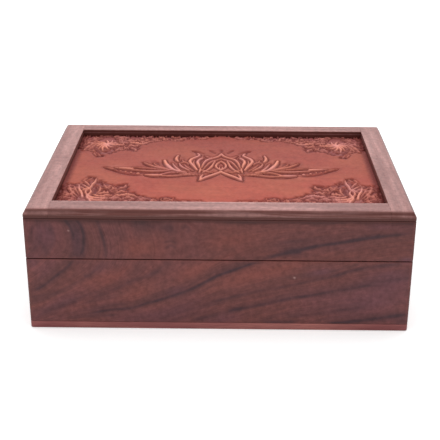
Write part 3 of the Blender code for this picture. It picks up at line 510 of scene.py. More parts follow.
def figure_level(x, z):
    """How far across the grain each point of the front lies, in millimetres.

    It is the height of a thin plate that is bent to pass through each line of the grain at its level.
    """
    knots = np.array([point for _, line in GRAIN_LINES for point in line], float)
    levels = np.array([level for level, line in GRAIN_LINES for _ in line], float)
    flat = np.column_stack([np.ones(len(knots)), knots])
    pulls = bending(np.linalg.norm(knots[:, None] - knots[None], axis=2))
    system = np.block([[pulls + FIGURE_SMOOTHING * np.eye(len(knots)), flat], [flat.T, np.zeros((3, 3))]])
    weights = np.linalg.solve(system, np.append(levels, np.zeros(3)))
    places = np.stack([x.ravel(), z.ravel()], -1)
    reach = bending(np.linalg.norm(places[:, None] - knots[None], axis=2))
    level = reach @ weights[:-3] + np.column_stack([np.ones(len(places)), places]) @ weights[-3:]
    return level.reshape(x.shape)


def smooth_path(points, samples):
    """Points along a Catmull-Rom curve: between two given points, a cubic whose slopes there are those
    from the point before to the point after."""
    points = np.asarray(points, float)
    if len(points) == 1:
        return np.repeat(points, 2, 0)
    padded = np.concatenate([2 * points[:1] - points[1:2], points, 2 * points[-1:] - points[-2:-1]])
    place = np.linspace(0, len(points) - 1, samples)
    span = np.minimum(place.astype(int), len(points) - 2)
    t = (place - span)[:, None]
    a, b, c, d = (padded[span + offset] for offset in range(4))
    return 0.5 * (2 * b + (c - a) * t + (2 * a - 5 * b + 4 * c - d) * t**2 + (3 * b - a - 3 * c + d) * t**3)


def distance_to(path, x, y):
    """For every point, its distance to a path of short straight runs and the share of the path's length
    at the nearest place. The nearest place on a run is the point's shadow on it, kept between its ends."""
    start, step = path[:-1], np.diff(path, axis=0)
    length = np.maximum((step**2).sum(1), 1e-12)
    from_x, from_y = x[..., None] - start[:, 0], y[..., None] - start[:, 1]
    share = np.clip((from_x * step[:, 0] + from_y * step[:, 1]) / length, 0, 1)
    apart = np.hypot(from_x - share * step[:, 0], from_y - share * step[:, 1])
    nearest = apart.argmin(-1)
    pick = np.take_along_axis(share, nearest[..., None], -1)[..., 0]
    return apart.min(-1), (nearest + pick) / len(start)


def bell(distance, reach):
    """Falls from one as a bell curve does: e to the power of minus the square of the distance over the
    reach."""
    return np.exp(-((distance / reach) ** 2))


def thinning(share, over, slope):
    """One along a path, and less at both ends, by a slope that would reach nought a little over them."""
    return np.clip(slope * np.minimum(share + over, 1 + over - share), 0, 1)


def front_figure(points):
    """Layers for a front board: each point's place along, across and through the grain, how dark its
    streak is, how plum or red it is and how much of it is a pale speck.

    A streak's core, its shade and a tint each fall as a bell curve does. The shade lies on the side where
    the grain's level is higher.
    """
    x, y, z = (points[..., axis] for axis in range(3))
    seen_x, seen_z = x / MM, z / MM
    level = figure_level(seen_x, seen_z)
    dark = np.zeros_like(x)
    for strength, width, reach, line in FIGURE_STREAKS:
        path = smooth_path(line, STREAK_POINTS)
        apart, share = distance_to(path, seen_x, seen_z)
        waves = np.sin(seen_x / 2.3 + 9 * strength) * np.sin(seen_z / 3.1 + seen_x / 7)
        waver = 1 - STREAK_WAVER + STREAK_WAVER * waves
        ends = thinning(share, *STREAK_ENDS)
        width = STREAK_SPREAD * width + STREAK_BLUR
        core = bell(apart, width)
        own = figure_level(path[:, 0], path[:, 1]).mean()
        over = np.clip((level - own) / SHADE_RISE, 0, 1)
        shade = STREAK_SHADE * over * bell(apart, width + reach)
        dark = np.maximum(dark, strength * ends * waver * np.maximum(core, shade))
    tint = np.zeros_like(x)
    for middle_x, middle_z, half_x, half_z, slope, amount in FIGURE_TINTS:
        along = (seen_x - middle_x) / half_x
        across = (seen_z - middle_z - slope * (seen_x - middle_x)) / half_z
        tint += amount * np.exp(-(along**2 + across**2))
    speck = sum(bell(np.hypot(seen_x - x, seen_z - z), radius) for x, z, radius in FIGURE_SPECKS)
    dark = np.clip(STREAK_STRENGTH * dark, 0, 1)
    return {"grain": np.stack([x, level * MM, y], -1), "streak": dark, "tint": tint, "speck": speck}


# Finishes
NOISE_RANGE = (0.3, 0.7)  # nearly all values of a noise lie between these
OILED_EDGE = 0.20  # how far a board's worn edges turn into their own colour
GRAIN_WAVER = 4.5 * MM  # how far the grain of a board strays to both sides


class Finish:
    """A material under construction. Its methods add nodes and return the last one's output."""

    def __init__(self, name):
        self.material = bpy.data.materials.new(name)
        self.material.use_nodes = True
        self.nodes = self.material.node_tree.nodes
        self.links = self.material.node_tree.links
        self.surface = self.nodes["Principled BSDF"]

    def node(self, kind, inputs=None, output=0, **settings):
        """A node with its settings, and its inputs set to a value or linked to an output."""
        made = self.nodes.new(f"ShaderNode{kind}")
        for key, value in settings.items():
            setattr(made, key, value)
        self.feed(made, inputs or {})
        return made.outputs[output]

    def feed(self, node, inputs):
        """Sets or links a node's inputs, by name or by number."""
        for key, value in inputs.items():
            if isinstance(value, bpy.types.NodeSocket):
                self.links.new(value, node.inputs[key])
            else:
                node.inputs[key].default_value = value

    def place(self):
        """Where a point lies in its object, which here is its place in the box."""
        return self.node("TexCoord", output="Object")

    def maths(self, operation, a, b=0.0, c=0.0, clamp=False):
        """A sum worked out from up to three numbers."""
        return self.node("Math", {0: a, 1: b, 2: c}, operation=operation, use_clamp=clamp)

    def scaled(self, vector, factors):
        """A vector times a factor for each axis."""
        return self.node("VectorMath", {0: vector, 1: factors}, operation="MULTIPLY")

    def shifted(self, vector, offset):
        """A vector plus another."""
        return self.node("VectorMath", {0: vector, 1: offset}, operation="ADD")

    def noise(self, vector, scale, detail=2.0, roughness=0.5, distortion=0.0, output=0):
        """Clouds, as many to the metre along each axis as its scale says."""
        inputs = {"Vector": self.scaled(vector, scale), "Scale": 1.0, "Detail": detail}
        inputs |= {"Roughness": roughness, "Distortion": distortion}
        return self.node("TexNoise", inputs, output)

    def between(self, value, low, high, to_low=0.0, to_high=1.0):
        """The value's place between two limits, kept within them, on a new scale."""
        inputs = {"Value": value, "From Min": low, "From Max": high, "To Min": to_low, "To Max": to_high}
        return self.node("MapRange", inputs)

    def mixed(self, share, a, b):
        """Colour a turning into colour b."""
        inputs = {0: share, 6: opaque(a), 7: opaque(b)}
        return self.node("Mix", inputs, 2, data_type="RGBA")

    def fade(self, value, reach, strength=1.0):
        """The strength where a value is nought, easing off to nothing at the reach on both its sides."""
        inputs = {"Value": self.maths("ABSOLUTE", value), "From Min": 0.0, "From Max": reach}
        inputs |= {"To Min": strength, "To Max": 0.0}
        return self.node("MapRange", inputs, interpolation_type="SMOOTHSTEP")

    def most(self, values):
        """The highest of some values."""
        highest = values[0]
        for value in values[1:]:
            highest = self.maths("MAXIMUM", highest, value)
        return highest

    def past(self, place, half_x, half_y, operation="MAXIMUM"):
        """How far a place lies outside a rectangle about the middle, seen from above, and below nought
        inside it. With MINIMUM it is nought at the rectangle's corners alone."""
        axes = self.node("SeparateXYZ", {0: place}).node.outputs
        x = self.maths("SUBTRACT", self.maths("ABSOLUTE", axes[0]), float(half_x))
        y = self.maths("SUBTRACT", self.maths("ABSOLUTE", axes[1]), float(half_y))
        return self.maths(operation, x, y)

    def above(self, place, height):
        """How far a place lies above a height."""
        return self.maths("SUBTRACT", self.node("SeparateXYZ", {0: place}, 2), float(height))

    def layer(self, name, output="Fac"):
        """A value that the mesh holds at its points."""
        return self.node("Attribute", {}, output, attribute_name=name)

    def dimmed(self, shade, factor):
        """A colour times a plain factor."""
        grey = self.node("CombineColor", {0: factor, 1: factor, 2: factor})
        return self.node("Mix", {0: 1.0, 6: shade, 7: grey}, 2, data_type="RGBA", blend_type="MULTIPLY")

    def varied(self, shade, noise, least, most):
        """A colour times a factor that follows a noise."""
        return self.dimmed(shade, self.between(noise, *NOISE_RANGE, least, most))

    def raised(self, height, distance, strength):
        """The normal of a surface with a fine relief."""
        return self.node("Bump", {"Height": height, "Distance": distance, "Strength": strength})

    def coated(self, inputs):
        """The finished material, once its surface is fed."""
        self.feed(self.surface, inputs)
        return self.material


def opaque(value):
    """A colour with full opacity, or an output as it is."""
    return value if isinstance(value, bpy.types.NodeSocket) else (*value, 1.0)


def rosewood(name, light, dark, plum, board=None, contrast=1.0):
    """Oiled rosewood: bands, fibres, open pores and purple patches drawn out along the grain.

    With no board given, the grain follows the mesh's own layer, where X runs along it and Y across the
    figure. Otherwise it follows the object's X axis after the board's turn and from its place.
    """
    finish = Finish(name)
    if board is None:
        grain = finish.layer("grain", "Vector")
    else:
        turn, offset = board
        grain = finish.node("Mapping", {"Vector": finish.place(), "Rotation": turn, "Location": offset})
    wave = finish.noise(grain, (9, 42, 42), detail=2, output=1)
    wave = finish.shifted(wave, (-0.5, -0.5, -0.5))
    bent = finish.shifted(grain, finish.scaled(wave, (0, GRAIN_WAVER, GRAIN_WAVER)))
    bands = finish.noise(bent, (9, 190, 120), detail=3, roughness=0.55)
    fibres = finish.noise(bent, (45, 900, 700), detail=2, roughness=0.6)
    hairs = finish.noise(bent, (160, 3200, 2600), detail=1)
    patches = finish.noise(grain, (18, 60, 60), detail=2)
    spread = 0.16 / contrast
    fine = finish.maths("SUBTRACT", fibres, 0.5)
    broad = finish.between(bands, 0.5 - spread, 0.5 + spread)
    tone = finish.maths("MULTIPLY_ADD", fine, 0.9, broad, clamp=True)
    shade = finish.mixed(tone, dark, light)
    shade = finish.mixed(finish.between(patches, 0.48, 0.66, 0, 0.75 * contrast), shade, plum)
    pores = finish.between(finish.noise(bent, (260, 4200, 3600), detail=1), 0.60, 0.70)
    shade = finish.varied(shade, hairs, 0.90, 1.10)
    shade = finish.mixed(finish.maths("MULTIPLY", pores, 0.45), shade, dark)
    return finish, shade, fibres, pores


def mottled(finish, shade):
    """The clouded look of oiled wood: lighter and darker spots of about two millimetres."""
    clouds = finish.noise(finish.place(), (430, 430, 430), detail=3, roughness=0.65)
    return finish.varied(shade, clouds, 0.78, 1.22)


def finish_wood(parts, edge_colour=None, gloss=0.25, rough=(0.42, 0.56)):
    """Adds the rubbed edges, the gloss and the fine relief to a wood, and returns its material."""
    finish, shade, fibres, pores = parts
    if edge_colour is not None:
        shade = finish.mixed(finish.maths("MULTIPLY", finish.layer("edge"), OILED_EDGE), shade, edge_colour)
    roughness = finish.between(fibres, *NOISE_RANGE, *rough)
    roughness = finish.maths("ADD", roughness, finish.maths("MULTIPLY", pores, 0.12))
    relief = finish.maths("SUBTRACT", finish.maths("MULTIPLY", fibres, 0.5), pores)
    normal = finish.raised(relief, 0.04 * MM, 0.6)
    looks = {"Base Color": shade, "Roughness": roughness, "Normal": normal, "Specular IOR Level": gloss}
    return finish.coated(looks)


def carved_wood(name, colours):
    """The panel's wood: mottled field with painted shade towards the back, stained hollows with painted shade
    and the frame's painted shadow, stained ground, and rubbed ridges with a painted highlight.
    """
    finish = Finish(name)
    place = finish.place()
    mottle = finish.noise(place, (55, 75, 75), detail=3, roughness=0.6)
    lines = finish.noise(place, (60, 900, 900), detail=2)
    specks = finish.noise(place, (900, 1500, 1500), detail=2)
    shade = finish.mixed(finish.between(mottle, 0.35, 0.68), colours.field, colours.field_pale)
    # painted shade: the field turns darker towards the back
    depth = finish.node("SeparateXYZ", {0: place}, 1)
    shade = finish.mixed(finish.between(depth, -0.045, 0.055, 0, 0.8), shade, colours.field_back_shade)
    patches = finish.noise(place, (28, 40, 40), detail=1)
    shade = finish.mixed(finish.between(patches, 0.46, 0.62, 0, 0.5), shade, colours.field_brown)
    clouds = finish.noise(place, (350, 260, 350), detail=3, roughness=0.65)
    shade = finish.varied(shade, clouds, 0.88, 1.12)
    shade = finish.varied(shade, lines, 0.94, 1.05)
    uneven = finish.between(specks, *NOISE_RANGE, 0.8, 1.1)
    ridge_rubbed_and_lit = finish.mixed(finish.between(mottle, 0.45, 0.60), colours.ridge, colours.ridge_pink)
    # the ridge tone is rubbed wood with a painted highlight; the hollow tone is stain with painted shade
    # round the carving and along the frame
    for layer, tone in (("ground", colours.ground), ("ridge", ridge_rubbed_and_lit), ("hollow", colours.hollow)):
        share = finish.maths("MULTIPLY", finish.layer(layer), uneven, clamp=True)
        shade = finish.mixed(share, shade, tone)
    rough = finish.between(specks, *NOISE_RANGE, 0.50, 0.66)
    relief = finish.maths("ADD", finish.maths("MULTIPLY", specks, 0.6), finish.maths("MULTIPLY", lines, 0.4))
    normal = finish.raised(relief, 0.06 * MM, 0.6)
    looks = {"Base Color": shade, "Roughness": rough, "Normal": normal, "Specular IOR Level": 0.2}
    return finish.coated(looks)


def velvet_cloth(name, colour_value):
    """Short pile velvet: a fine nap, brushed patches and a soft sheen."""
    finish = Finish(name)
    place = finish.place()
    nap = finish.noise(place, (3200, 3200, 3200), detail=2)
    brushed = finish.noise(place, (45, 70, 70), detail=3, distortion=0.6)
    dark = tuple(0.55 * part for part in colour_value)
    light = tuple(min(1, 1.7 * part) for part in colour_value)
    shade = finish.mixed(finish.between(brushed, 0.35, 0.65), dark, light)
    shade = finish.mixed(finish.between(nap, 0.35, 0.65, 0, 0.5), shade, dark)
    looks = {"Base Color": shade, "Roughness": 0.95, "Normal": finish.raised(nap, 0.2 * MM, 0.7)}
    looks |= {"Specular IOR Level": 0.1, "Sheen Weight": 0.6, "Sheen Roughness": 0.35}
    return finish.coated(looks | {"Sheen Tint": (0.65, 0.20, 0.24, 1)})


def satin_brass(name, colour_value):
    """Brass with fine brush marks, a slight tarnish and small scuffs."""
    finish = Finish(name)
    place = finish.place()
    brush = finish.noise(place, (400, 9000, 9000), detail=2)
    tarnish = finish.noise(place, (350, 350, 350), detail=4, roughness=0.6)
    dull = tuple(0.42 * part for part in colour_value)
    shade = finish.mixed(finish.between(tarnish, 0.5, 0.75, 0, 0.8), colour_value, dull)
    brushed = finish.maths("MULTIPLY", brush, 0.1)
    rough = finish.maths("ADD", finish.between(tarnish, 0.4, 0.7, 0.24, 0.42), brushed)
    normal = finish.raised(brush, 0.01 * MM, 0.5)
    return finish.coated({"Base Color": shade, "Roughness": rough, "Normal": normal, "Metallic": 1.0})


ALONG_X = (0, 0, 0)
ALONG_Y = (0, 0, -math.pi / 2)
# The turn of a board's grain, and the place in the wood from which it is cut. A side's name stands for
# its walls in the tray and the lid. The front ones have a figure of their own.
BOARD_GRAINS = {
    "right": (ALONG_Y, (0.31, 0.07, 0.02)),
    "back": (ALONG_X, (0.13, 0.41, 0.05)),
    "left": (ALONG_Y, (0.77, 0.23, 0.09)),
    "base_board": (ALONG_X, (0.53, 0.17, 0.031)),
    "lid_left_rail": (ALONG_Y, (0.21, 0.63, 0.11)),
    "lid_right_rail": (ALONG_Y, (0.93, 0.35, 0.17)),
    "lid_front_rail": (ALONG_X, (0.47, 0.29, 0.03)),
    "lid_back_rail": (ALONG_X, (0.05, 0.83, 0.13)),
}
FRONT_CONTRAST, BASE_CONTRAST = 0.45, 1.3
RAIL_GLOSS = (0.35, (0.34, 0.46))
TRAY_LIGHTENING = 1.08  # how much lighter the tray's walls are than the lid's
SEAM_BLEND = 0.5 * MM  # how far to both sides of the seam one turns into the other
# How dark a wall's painted shade and dark joint lines are. The painted shade under the top frame reaches
# unevenly far down, and the corners' is painted shade where their rounding turns from the light.
JOINT_SHADE, SEAM_STAIN, FOOT_STAIN, CORNER_SHADE = 0.85, 0.35, 0.3, 0.4
JOINT_SHADE_REACHES = (1.6 * MM, 4 * MM)
SEAM_STAIN_REACH, CORNER_SHADE_REACH = 0.5 * MM, 1.6 * MM
# The same of a rail's painted shade. Streaks of painted shade and dark veins lie on the outer part of its
# moulding, given in shares of the moulding.
STREAKED_PART = (-0.70, -0.50)
INSIDE_SHADE, LIP_LINE_SHADE = 0.9, 0.45
RAIL_SHADE_REACH = 0.35 * MM
INSIDE_SHADE_TOP = (-0.5 * MM, -0.15 * MM)  # the inner face's painted shade fades out here, seen from the top
INNER_LINE_LIGHT = (0.5 * MM, 0.6)  # the painted lighter line of bounced light: its reach to both sides, and how light it is
RAIL_FOOT_SHADE_TOP = (1.0 * MM, 1.9 * MM)  # the painted shade at a rail's foot fades out between these heights


def paint_wall_shade(finish, shade, colours):
    """Paints shade under the top frame's joint and round the upright corners, and darkens the seam and base
    joints.
    """
    place = finish.place()
    uneven = finish.noise(place, (60, 60, 200), detail=2)
    reach = finish.between(uneven, *NOISE_RANGE, *JOINT_SHADE_REACHES)
    corner = finish.past(place, HALF_WIDTH, HALF_DEPTH, "MINIMUM")
    share = finish.most(
        [
            # painted shade under the top frame, dark joint lines at the seam and the base, and painted shade
            # round the corners
            finish.fade(finish.above(place, LID_WALL_TOP), reach, JOINT_SHADE),
            finish.fade(finish.above(place, SEAM_HEIGHT), SEAM_STAIN_REACH, SEAM_STAIN),
            finish.fade(finish.above(place, TRAY_FOOT), SEAM_STAIN_REACH, FOOT_STAIN),
            finish.fade(corner, CORNER_SHADE_REACH, CORNER_SHADE),
        ]
    )
    return finish.mixed(share, shade, colours.wall_shade_and_joints)


def paint_rail_shade(finish, shade, colours, moulding):
    """Paints shade on a rail: veined streaks on its moulding, the line over the lip, its foot and its inner
    face, which keeps a painted lighter line.
    """
    place = finish.place()
    patchy = finish.noise(place, (24, 24, 620), detail=2, distortion=0.5)
    outer = finish.past(place, HALF_WIDTH, HALF_DEPTH)
    streaks = finish.maths(
        "MULTIPLY",
        finish.between(outer, *(share * moulding for share in STREAKED_PART), 0, 1),
        finish.between(patchy, 0.40, 0.58, 0.50, 0.92),
    )
    inner = finish.past(place, OPENING_HALF_WIDTH, OPENING_HALF_DEPTH)
    inside = finish.fade(inner, RAIL_SHADE_REACH, INSIDE_SHADE)
    depth = finish.above(place, BOX_TOP)
    under = finish.between(depth, *INSIDE_SHADE_TOP, 1, 0)
    # a painted lighter line of bounced light across the inner face's painted shade
    middle = finish.fade(finish.maths("ADD", depth, INNER_LINE), *INNER_LINE_LIGHT)
    under = finish.maths("SUBTRACT", under, middle, clamp=True)
    share = finish.most(
        [
            streaks,
            finish.fade(finish.above(place, BOX_TOP - MOULDING_STEP * moulding), RAIL_SHADE_REACH, LIP_LINE_SHADE),
            finish.between(finish.above(place, RAIL_FOOT), *RAIL_FOOT_SHADE_TOP, 1.0, 0),
            finish.maths("MULTIPLY", inside, under),
        ]
    )
    return finish.mixed(share, shade, colours.rail_stain)


def wall_finish(colours, name, grain=None):
    """Rosewood for a wall. The front's, which has no grain given, gets its own figure, tints and specks."""
    light, dark, plum = colours.wall_light, colours.wall_dark, colours.wall_plum
    contrast = FRONT_CONTRAST if grain is None else 1.0
    finish, shade, *relief = rosewood(name, light, dark, plum, grain, contrast)
    if grain is None:
        tint = finish.layer("tint")
        shade = finish.mixed(finish.between(tint, 0, 1, 0, 0.85), shade, plum)
        shade = finish.mixed(finish.between(tint, 0, -1, 0, 0.85), shade, colours.wall_red)
        shade = finish.mixed(finish.layer("streak"), shade, colours.streak)
        shade = finish.mixed(finish.layer("speck"), shade, colours.speck)
    from_seam = finish.above(finish.place(), SEAM_HEIGHT)
    shade = finish.dimmed(shade, finish.between(from_seam, -SEAM_BLEND, SEAM_BLEND, TRAY_LIGHTENING, 1.0))
    # painted shade under the top frame and round the corners, and dark joint lines at the seam and base
    shade = paint_wall_shade(finish, mottled(finish, shade), colours)
    return finish_wood((finish, shade, *relief), light)


# Carving. How far a groove and a rib reach from their path, and the painted shade beside a groove and painted
# highlight beside a rib, in shares of their width
GROOVE_REACH, RIB_REACH = 0.75, 0.68
GROOVE_SHADE_DEPTH, GROOVE_SHADE_REACH = 0.5, 1.3
GLOW, GLOW_REACH = 0.35, 1.2
DIP_REACH, DIP_MARGIN = 0.6, 1.6
GROOVE_ENDS = (0.05, 7)  # how a groove thins out at its ends
RIDGE_HIGHLIGHT_SPREAD = 0.7  # the power that widens a rib's rubbed top and its painted highlight
# The narrow grooves and the painted shade round a rib, and the groove round a bead, in millimetres
SIDE_GROOVE_AWAY, SIDE_GROOVE_WIDTH = 0.25, 0.45
RIB_SIDE_DEPTH, LEAF_SIDE_DEPTH = 0.8, 0.9
RIB_SHADE_REACH = 2.2
RIB_MARGIN = 2.5
BEAD_SIDE_DEPTH, BEAD_SIDE_AWAY, BEAD_SIDE_WIDTH = 0.8, 0.2, 0.4
BEAD_LIGHT = 0.7
LEAF_TAPER = (0.5, 1.0, 0.6)  # a small leaf's shares of its width at its start, middle and end


class CarvedPatch:
    """A grid of the panel's points, in millimetres, on which strokes are cut and raised.

    cut is the depth of grooves, rib is how much a point belongs to a raised rib, lit is how much of it is
    rubbed bright and carries a painted highlight, shade is how much painted shade lies round the grooves and
    ribs, and sunk is how much a point belongs to the lowered ground.
    """

    def __init__(self, x, y):
        self.x, self.y = x, y
        shape = (len(x), len(y))
        self.cut, self.rib, self.lit, self.sunk, self.shade = (np.zeros(shape) for _ in range(5))

    def near(self, points, margin, samples):
        """The part of the grid round a smooth path, as slices, with each of its points' distance to the
        path and share along it."""
        path = smooth_path(points, samples)
        low, high = path.min(0) - margin, path.max(0) + margin
        across = slice(*np.searchsorted(self.x, (low[0], high[0])))
        deep = slice(*np.searchsorted(self.y, (low[1], high[1])))
        x, y = np.meshgrid(self.x[across], self.y[deep], indexing="ij")
        return (across, deep), *distance_to(path, x, y)

    def lift(self, part, **values):
        """Brings the named values of a part of the grid up to new ones where these are higher."""
        for name, value in values.items():
            grid = getattr(self, name)
            grid[part] = np.maximum(grid[part], value)

    def groove(self, points, width, depth, samples=36):
        """A rounded V along a path: full depth on the path and none at three quarters of its width to
        both sides, thinner and shallower at its ends."""
        part, apart, share = self.near(points, width, samples)
        taper = thinning(share, *GROOVE_ENDS)
        fall = np.clip(1 - apart / (GROOVE_REACH * width * (0.4 + 0.6 * taper)), 0, 1)
        fall = depth * fall * (2 - fall) * (0.5 + 0.5 * taper)
        # painted shade round the groove
        self.lift(part, cut=fall, shade=GROOVE_SHADE_DEPTH * depth * taper * bell(apart, GROOVE_SHADE_REACH * width))

    def ribbon(self, points, width, bright, taper=LEAF_TAPER, samples=44, beside=RIB_SIDE_DEPTH, tint=0.0):
        """A rounded rib along a path, with a narrow groove on both its sides.

        Its height follows a cosine across it. Its half width follows the taper's three shares along it.
        beside is how deep the grooves are, and tint is how much painted shade lies round it all.
        """
        part, apart, share = self.near(points, width + RIB_MARGIN, samples)
        half = RIB_REACH * width * np.interp(share, (0, 0.5, 1), taper)
        top = np.cos(np.clip(apart / half, 0, 1) * math.pi / 2)
        # the rib's rubbed top with a painted highlight, and a painted glow round the rib
        lit = bright * np.maximum(top**RIDGE_HIGHLIGHT_SPREAD, GLOW * bell(apart, GLOW_REACH * width))
        side = beside * bell(apart - half - SIDE_GROOVE_AWAY, SIDE_GROOVE_WIDTH)
        self.lift(part, cut=side, rib=top, shade=tint * bell(apart, RIB_SHADE_REACH), lit=lit)

    def bead(self, place, radius):
        """A half round bead with a narrow groove round it."""
        part, apart, _ = self.near([place], radius + 1, 2)
        top = np.sqrt(np.clip(1 - (apart / radius) ** 2, 0, 1))
        side = BEAD_SIDE_DEPTH * bell(apart - radius - BEAD_SIDE_AWAY, BEAD_SIDE_WIDTH)
        # the bead's rubbed top with a painted highlight
        self.lift(part, cut=side, rib=top, lit=BEAD_LIGHT * top)

    def dip(self, points, width, depth):
        """A wide shallow hollow along a path, with painted shade in it."""
        part, apart, _ = self.near(points, DIP_MARGIN * width, 24)
        hollow = depth * bell(apart, DIP_REACH * width)
        # painted shade in the hollow
        self.lift(part, cut=hollow, shade=hollow)

    def lower(self, discs):
        """Lowers the ground inside a row of overlapping discs, with a cut line along their joint edge."""
        x, y = np.meshgrid(self.x, self.y, indexing="ij")
        inside = np.full(x.shape, -1e3)
        for centre_x, centre_y, radius in discs:
            inside = np.maximum(inside, radius - np.hypot(x - centre_x, y - centre_y))
        line = GROUND_LINE_DEPTH * bell(inside - GROUND_LINE_INSET, GROUND_LINE_WIDTH)
        self.lift(..., sunk=np.clip(inside / GROUND_SLOPE + 0.5, 0, 1), cut=line)


# The lotus, left half, in millimetres from the panel's middle
LOTUS_GROOVES = (
    (1.7, 1.0, ((-59.6, -0.2), (-57.9, -2.5), (-54.6, -5), (-51.2, -7.9), (-47.5, -10), (-44.2, -11.2),
                (-39.8, -11.7))),
    (1.7, 1.0, ((-55, -1), (-51.2, -3.3), (-47.5, -5), (-43.3, -6.2), (-39.2, -7.9), (-35, -8.5),
                (-31.7, -8.1), (-28.7, -6.2), (-27.1, -4.6))),
    (1.4, 0.9, ((-44.4, -2.7), (-40, -2.5), (-34.8, -3.1))),
    (1.5, 1.0, ((-40.6, 6.9), (-38.7, 3.3), (-35.8, 0.4), (-32.9, -1.9), (-29.6, -3.5), (-25.6, -4.8))),
    (1.4, 1.0, ((-30.4, 10), (-29.6, 5), (-27.9, 0.8), (-25.4, -3.3), (-21.7, -6), (-18.7, -7.5))),
    (1.2, 0.9, ((-26.2, 8.3), (-24.8, 2.5), (-22.9, -2.1), (-20.4, -5.4))),
    (0.9, 0.7, ((-24.2, 13.5), (-24, 11.2), (-23.3, 8.8))),
    (1.1, 0.9, ((-16.7, 13.3), (-17.5, 10), (-17.1, 6.2), (-15.8, 2.5), (-14.4, -1.2))),
    (1.1, 0.9, ((-12.3, 16.2), (-13.5, 13.3), (-14.2, 10), (-13.7, 6.2), (-12.5, 2.5))),
    (1.1, 0.9, ((-8, 16.2), (-9.7, 12.6), (-10.3, 9.2), (-10.2, 5), (-10.4, 1.5))),
    (1.2, 1.0, ((0, 17), (-2.7, 13.6), (-5.6, 10.6), (-7.1, 6.7), (-7.9, 3.3), (-8.6, 0))),
    (0.9, 0.8, ((-4.6, 8.3), (-5.4, 5), (-6.7, 0.8), (-8.2, -2.8))),
    (0.9, 0.9, ((-3.4, 8.3), (-3.7, 4.2), (-3.3, 0.4), (-1.3, -2.9))),
    (1.5, 1.0, ((-0.6, -8.4), (-2.7, -11.2), (-5, -14.2), (-8.1, -17.1), (-11.6, -20.2))),
    (1.3, 0.9, ((-4, -8), (-6.3, -9.8), (-8, -12.2))),
    (1.2, 0.9, ((-11.3, -11.2), (-11.2, -14), (-10.9, -17))),
    (1.8, 1.0, ((-37.7, -12.7), (-33.3, -14.1), (-28.3, -14.4), (-23.3, -13.5), (-19.2, -12.5),
                (-15.8, -11.6), (-12.3, -11.2))),
    (1.7, 0.9, ((-29, -10.6), (-26.2, -9.4), (-22.5, -9.1), (-18.8, -9.6))),
    (1.5, 0.9, ((-21.7, -6.2), (-18.7, -7.3), (-15, -9.4), (-11.5, -11))),
    (0.9, 0.6, ((-38.6, -10.2), (-33, -9.3), (-29.6, -8.8))),
    (1.8, 1.0, ((-15.4, 27.4), (-13.6, 25.8), (-12.2, 23.6))),
    (1.2, 0.7, ((-9, 22), (-11, 24.6), (-12.6, 26))),
    (1.3, 0.8, ((-3.2, 23.2), (-4.8, 26), (-6.4, 28.8))),
    (1.3, 0.8, ((0, 24.8), (0, 27), (0, 29.6))),
    (1.5, 0.8, ((-33.4, 8.4), (-32.6, 6), (-31.8, 2.4))),
    (1.0, 0.7, ((-36, 5), (-34.6, 2.6), (-32, 0.2))),
)
LOTUS_DIPS = (
    (2.4, 0.60, ((-30, -4.6), (-25, -6.4), (-20, -8.2))),
    (2.2, 0.55, ((-13, -4), (-10, -5.4), (-6.4, -5))),
    (1.6, 0.50, ((-23.6, 5), (-22.4, 1.6), (-20.4, -2))),
    (1.6, 0.50, ((-13.4, 10), (-13.2, 5), (-12, 0.4))),
    (1.4, 0.45, ((-6.6, 10.4), (-8.2, 6), (-8.8, 1.4))),
    (1.4, 0.45, ((-25, 13.4), (-24.2, 10.4), (-22.8, 7.8))),
    (3.2, 0.40, ((-20.8, 16.2), (-19.4, 13), (-18.4, 9.6))),
    (2.6, 0.35, ((-34.4, 8.6), (-33.4, 5), (-31, 1))),
    (2.6, 0.30, ((-52, -4.6), (-46, -7.6), (-40, -9.8))),
    (2.2, 0.45, ((-19, 6), (-17.6, 3), (-16, -1))),
    (2.0, 0.40, ((0, 5.4), (0, 1.4))),
    (3.0, 0.45, ((-13, -6.4), (-11, -8.6), (-7.4, -7.2))),
)
